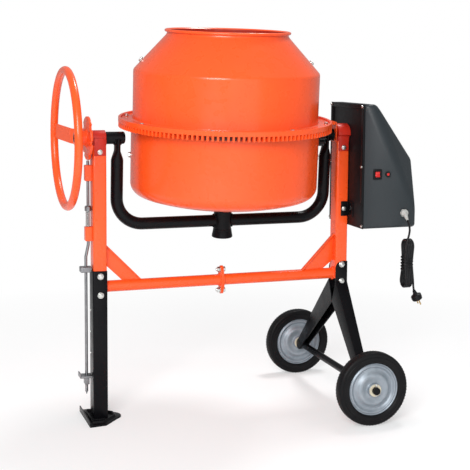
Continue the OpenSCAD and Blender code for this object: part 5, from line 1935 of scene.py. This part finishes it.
    def _reset(self) -> None:
        """Make the reset button with a dimpled face, and its collar."""
        low, high = box_mm("reset_button")
        at = Vector(((low.x + high.x) / 2, low.y, (low.z + high.z) / 2))
        out = Matrix.Translation(at) @ ALONG_Y
        button = Shape().lathe(
            [(0, 1.0), (5.6, 0.6)] + arc((8.1, 1.4), 1.4, -120, 0, 5)
            + [(9.5, 3.6), (7.4, 3.6), (7.4, 25.6), (0, 25.6)], out, 48)
        pad = Shape().lathe([(0, 0.1), (4.2, 0.1), (4.8, 0.6), (4.8, 1.6), (0, 1.6)], out, 32)
        mesh = join("reset_key", [coated(button, "ring", BLACK_PLASTIC),
                                  coated(pad, "pad", RED_PLASTIC)])
        dress(mesh, "reset_key", Body.BUTTON, BLACK_PLASTIC, ["reset_button"])


# ---- stage ---------------------------------------------------------------------------------


@dataclass(frozen=True)
class Studio:
    """The camera, the pale floor and the soft lights."""

    azimuth: float = -18.966  # how far the camera stands round from the front, in degrees
    elevation: float = 5.994  # how high it looks from, in degrees
    distance: float = 3740.2  # its distance from its target
    target: Point3 = (-12.5, 0, 799.9)  # what it looks at
    lens: float = 83.6  # its focal length in millimetres
    roll: float = 0.436  # how far it is turned about its view, in degrees
    shift: float = -0.12  # its vertical shift, as a share of the frame
    fill: float = 0.42  # strength of the light from all round

    def make_camera(self) -> None:
        """Make the camera and use it."""
        a, e = math.radians(self.azimuth), math.radians(self.elevation)
        back = Vector((math.sin(a) * math.cos(e), -math.cos(a) * math.cos(e), math.sin(e)))
        lens = bpy.data.cameras.new("camera")
        lens.lens = self.lens
        lens.sensor_width = 36
        lens.shift_y = self.shift
        lens.clip_end = 100
        camera = stand_in_scene("camera", lens)
        camera.location = (Vector(self.target) + back * self.distance) * MM
        turn = (-back).to_track_quat("-Z", "Y").to_matrix().to_4x4()
        camera.rotation_euler = (turn @ Matrix.Rotation(math.radians(self.roll), 4, "Z")).to_euler()
        bpy.context.scene.camera = camera

    def make_stage(self) -> None:
        """Make the floor, the sky and the lights."""
        mesh = bpy.data.meshes.new("floor")
        reach = 40
        corners = [(-reach, -reach, 0), (reach, -reach, 0), (reach, reach, 0), (-reach, reach, 0)]
        mesh.from_pydata(corners, [], [(0, 1, 2, 3)])
        floor = stand_in_scene("floor", mesh)
        mesh.materials.append(self._floor_material())
        world = bpy.data.worlds.new("studio")
        world.use_nodes = True
        tree = NodeTree(world.node_tree)
        dim = tree.wire("Background", {"Color": (0.97, 0.985, 1, 1), "Strength": self.fill})
        backdrop = tree.add("ShaderNodeBackground", {"Color": (1, 1, 1, 1)})
        seen = tree.add("ShaderNodeLightPath").outputs["Is Camera Ray"]
        chosen = tree.add("ShaderNodeMixShader", {0: seen, 1: dim, 2: backdrop})
        tree.wire("World Output", {"Surface": chosen})
        bpy.context.scene.world = world
        bpy.context.scene.view_settings.view_transform = "Standard"
        self._light("key", (-2.0, -3.4, 2.5), 1.8, 150)
        self._light("top", (1.3, 0.9, 4.2), 1.0, 80)
        self._light("front", (0.2, -4.6, 1.6), 3.0, 24)

    @staticmethod
    def _floor_material() -> bpy.types.Material:
        """Return a pale floor that fades into the white backdrop away from the machine."""
        made = bpy.data.materials.new("studio_floor")
        made.use_nodes = True
        tree = NodeTree(made.node_tree)
        pale = tree.wire("Principled BSDF", {"Base Color": (0.97, 0.97, 0.97, 1),
                                             "Roughness": 0.8, "Specular IOR Level": 0.1})
        spot = tree.add("ShaderNodeTexCoord").outputs["Object"]
        length = tree.add("ShaderNodeVectorMath", {0: spot}, operation="LENGTH")
        fade = tree.mapped(length.outputs["Value"], 0.9, 2.2, 0.4, 1.0)
        seen = tree.add("ShaderNodeLightPath").outputs["Is Camera Ray"]
        share = tree.add("ShaderNodeMath", {0: fade, 1: seen}, operation="MULTIPLY")
        white = tree.add("ShaderNodeEmission")
        mixed = tree.add("ShaderNodeMixShader", {0: share, 1: pale, 2: white})
        tree.wire("Material Output", {"Surface": mixed})
        return made

    @staticmethod
    def _light(name: str, place: Point3, size: float, power: float) -> None:
        """Hang one square light that shines on the middle of the machine."""
        lamp = bpy.data.lights.new(name, "AREA")
        lamp.size = size
        lamp.energy = power
        light = stand_in_scene(name, lamp)
        light.location = place
        aim = Vector((0, 0, 0.65)) - light.location
        light.rotation_euler = aim.to_track_quat("-Z", "Y").to_euler()


def main() -> None:
    """Build the whole machine: camera and cord first, then each sub-assembly."""
    logging.basicConfig(level=logging.INFO, format="%(name)s: %(message)s")
    studio = Studio()
    studio.make_camera()
    PowerCord().make()
    studio.make_stage()
    Stand().make()
    Wheel("front", Body.FRONT_WHEEL).make()
    Wheel("rear", Body.REAR_WHEEL).make()
    Yoke().make()
    Handwheel().make()
    Lock().make()
    Drum().make()
    Drive().make()
    Housing().make()


if __name__ == "__main__":
    main()
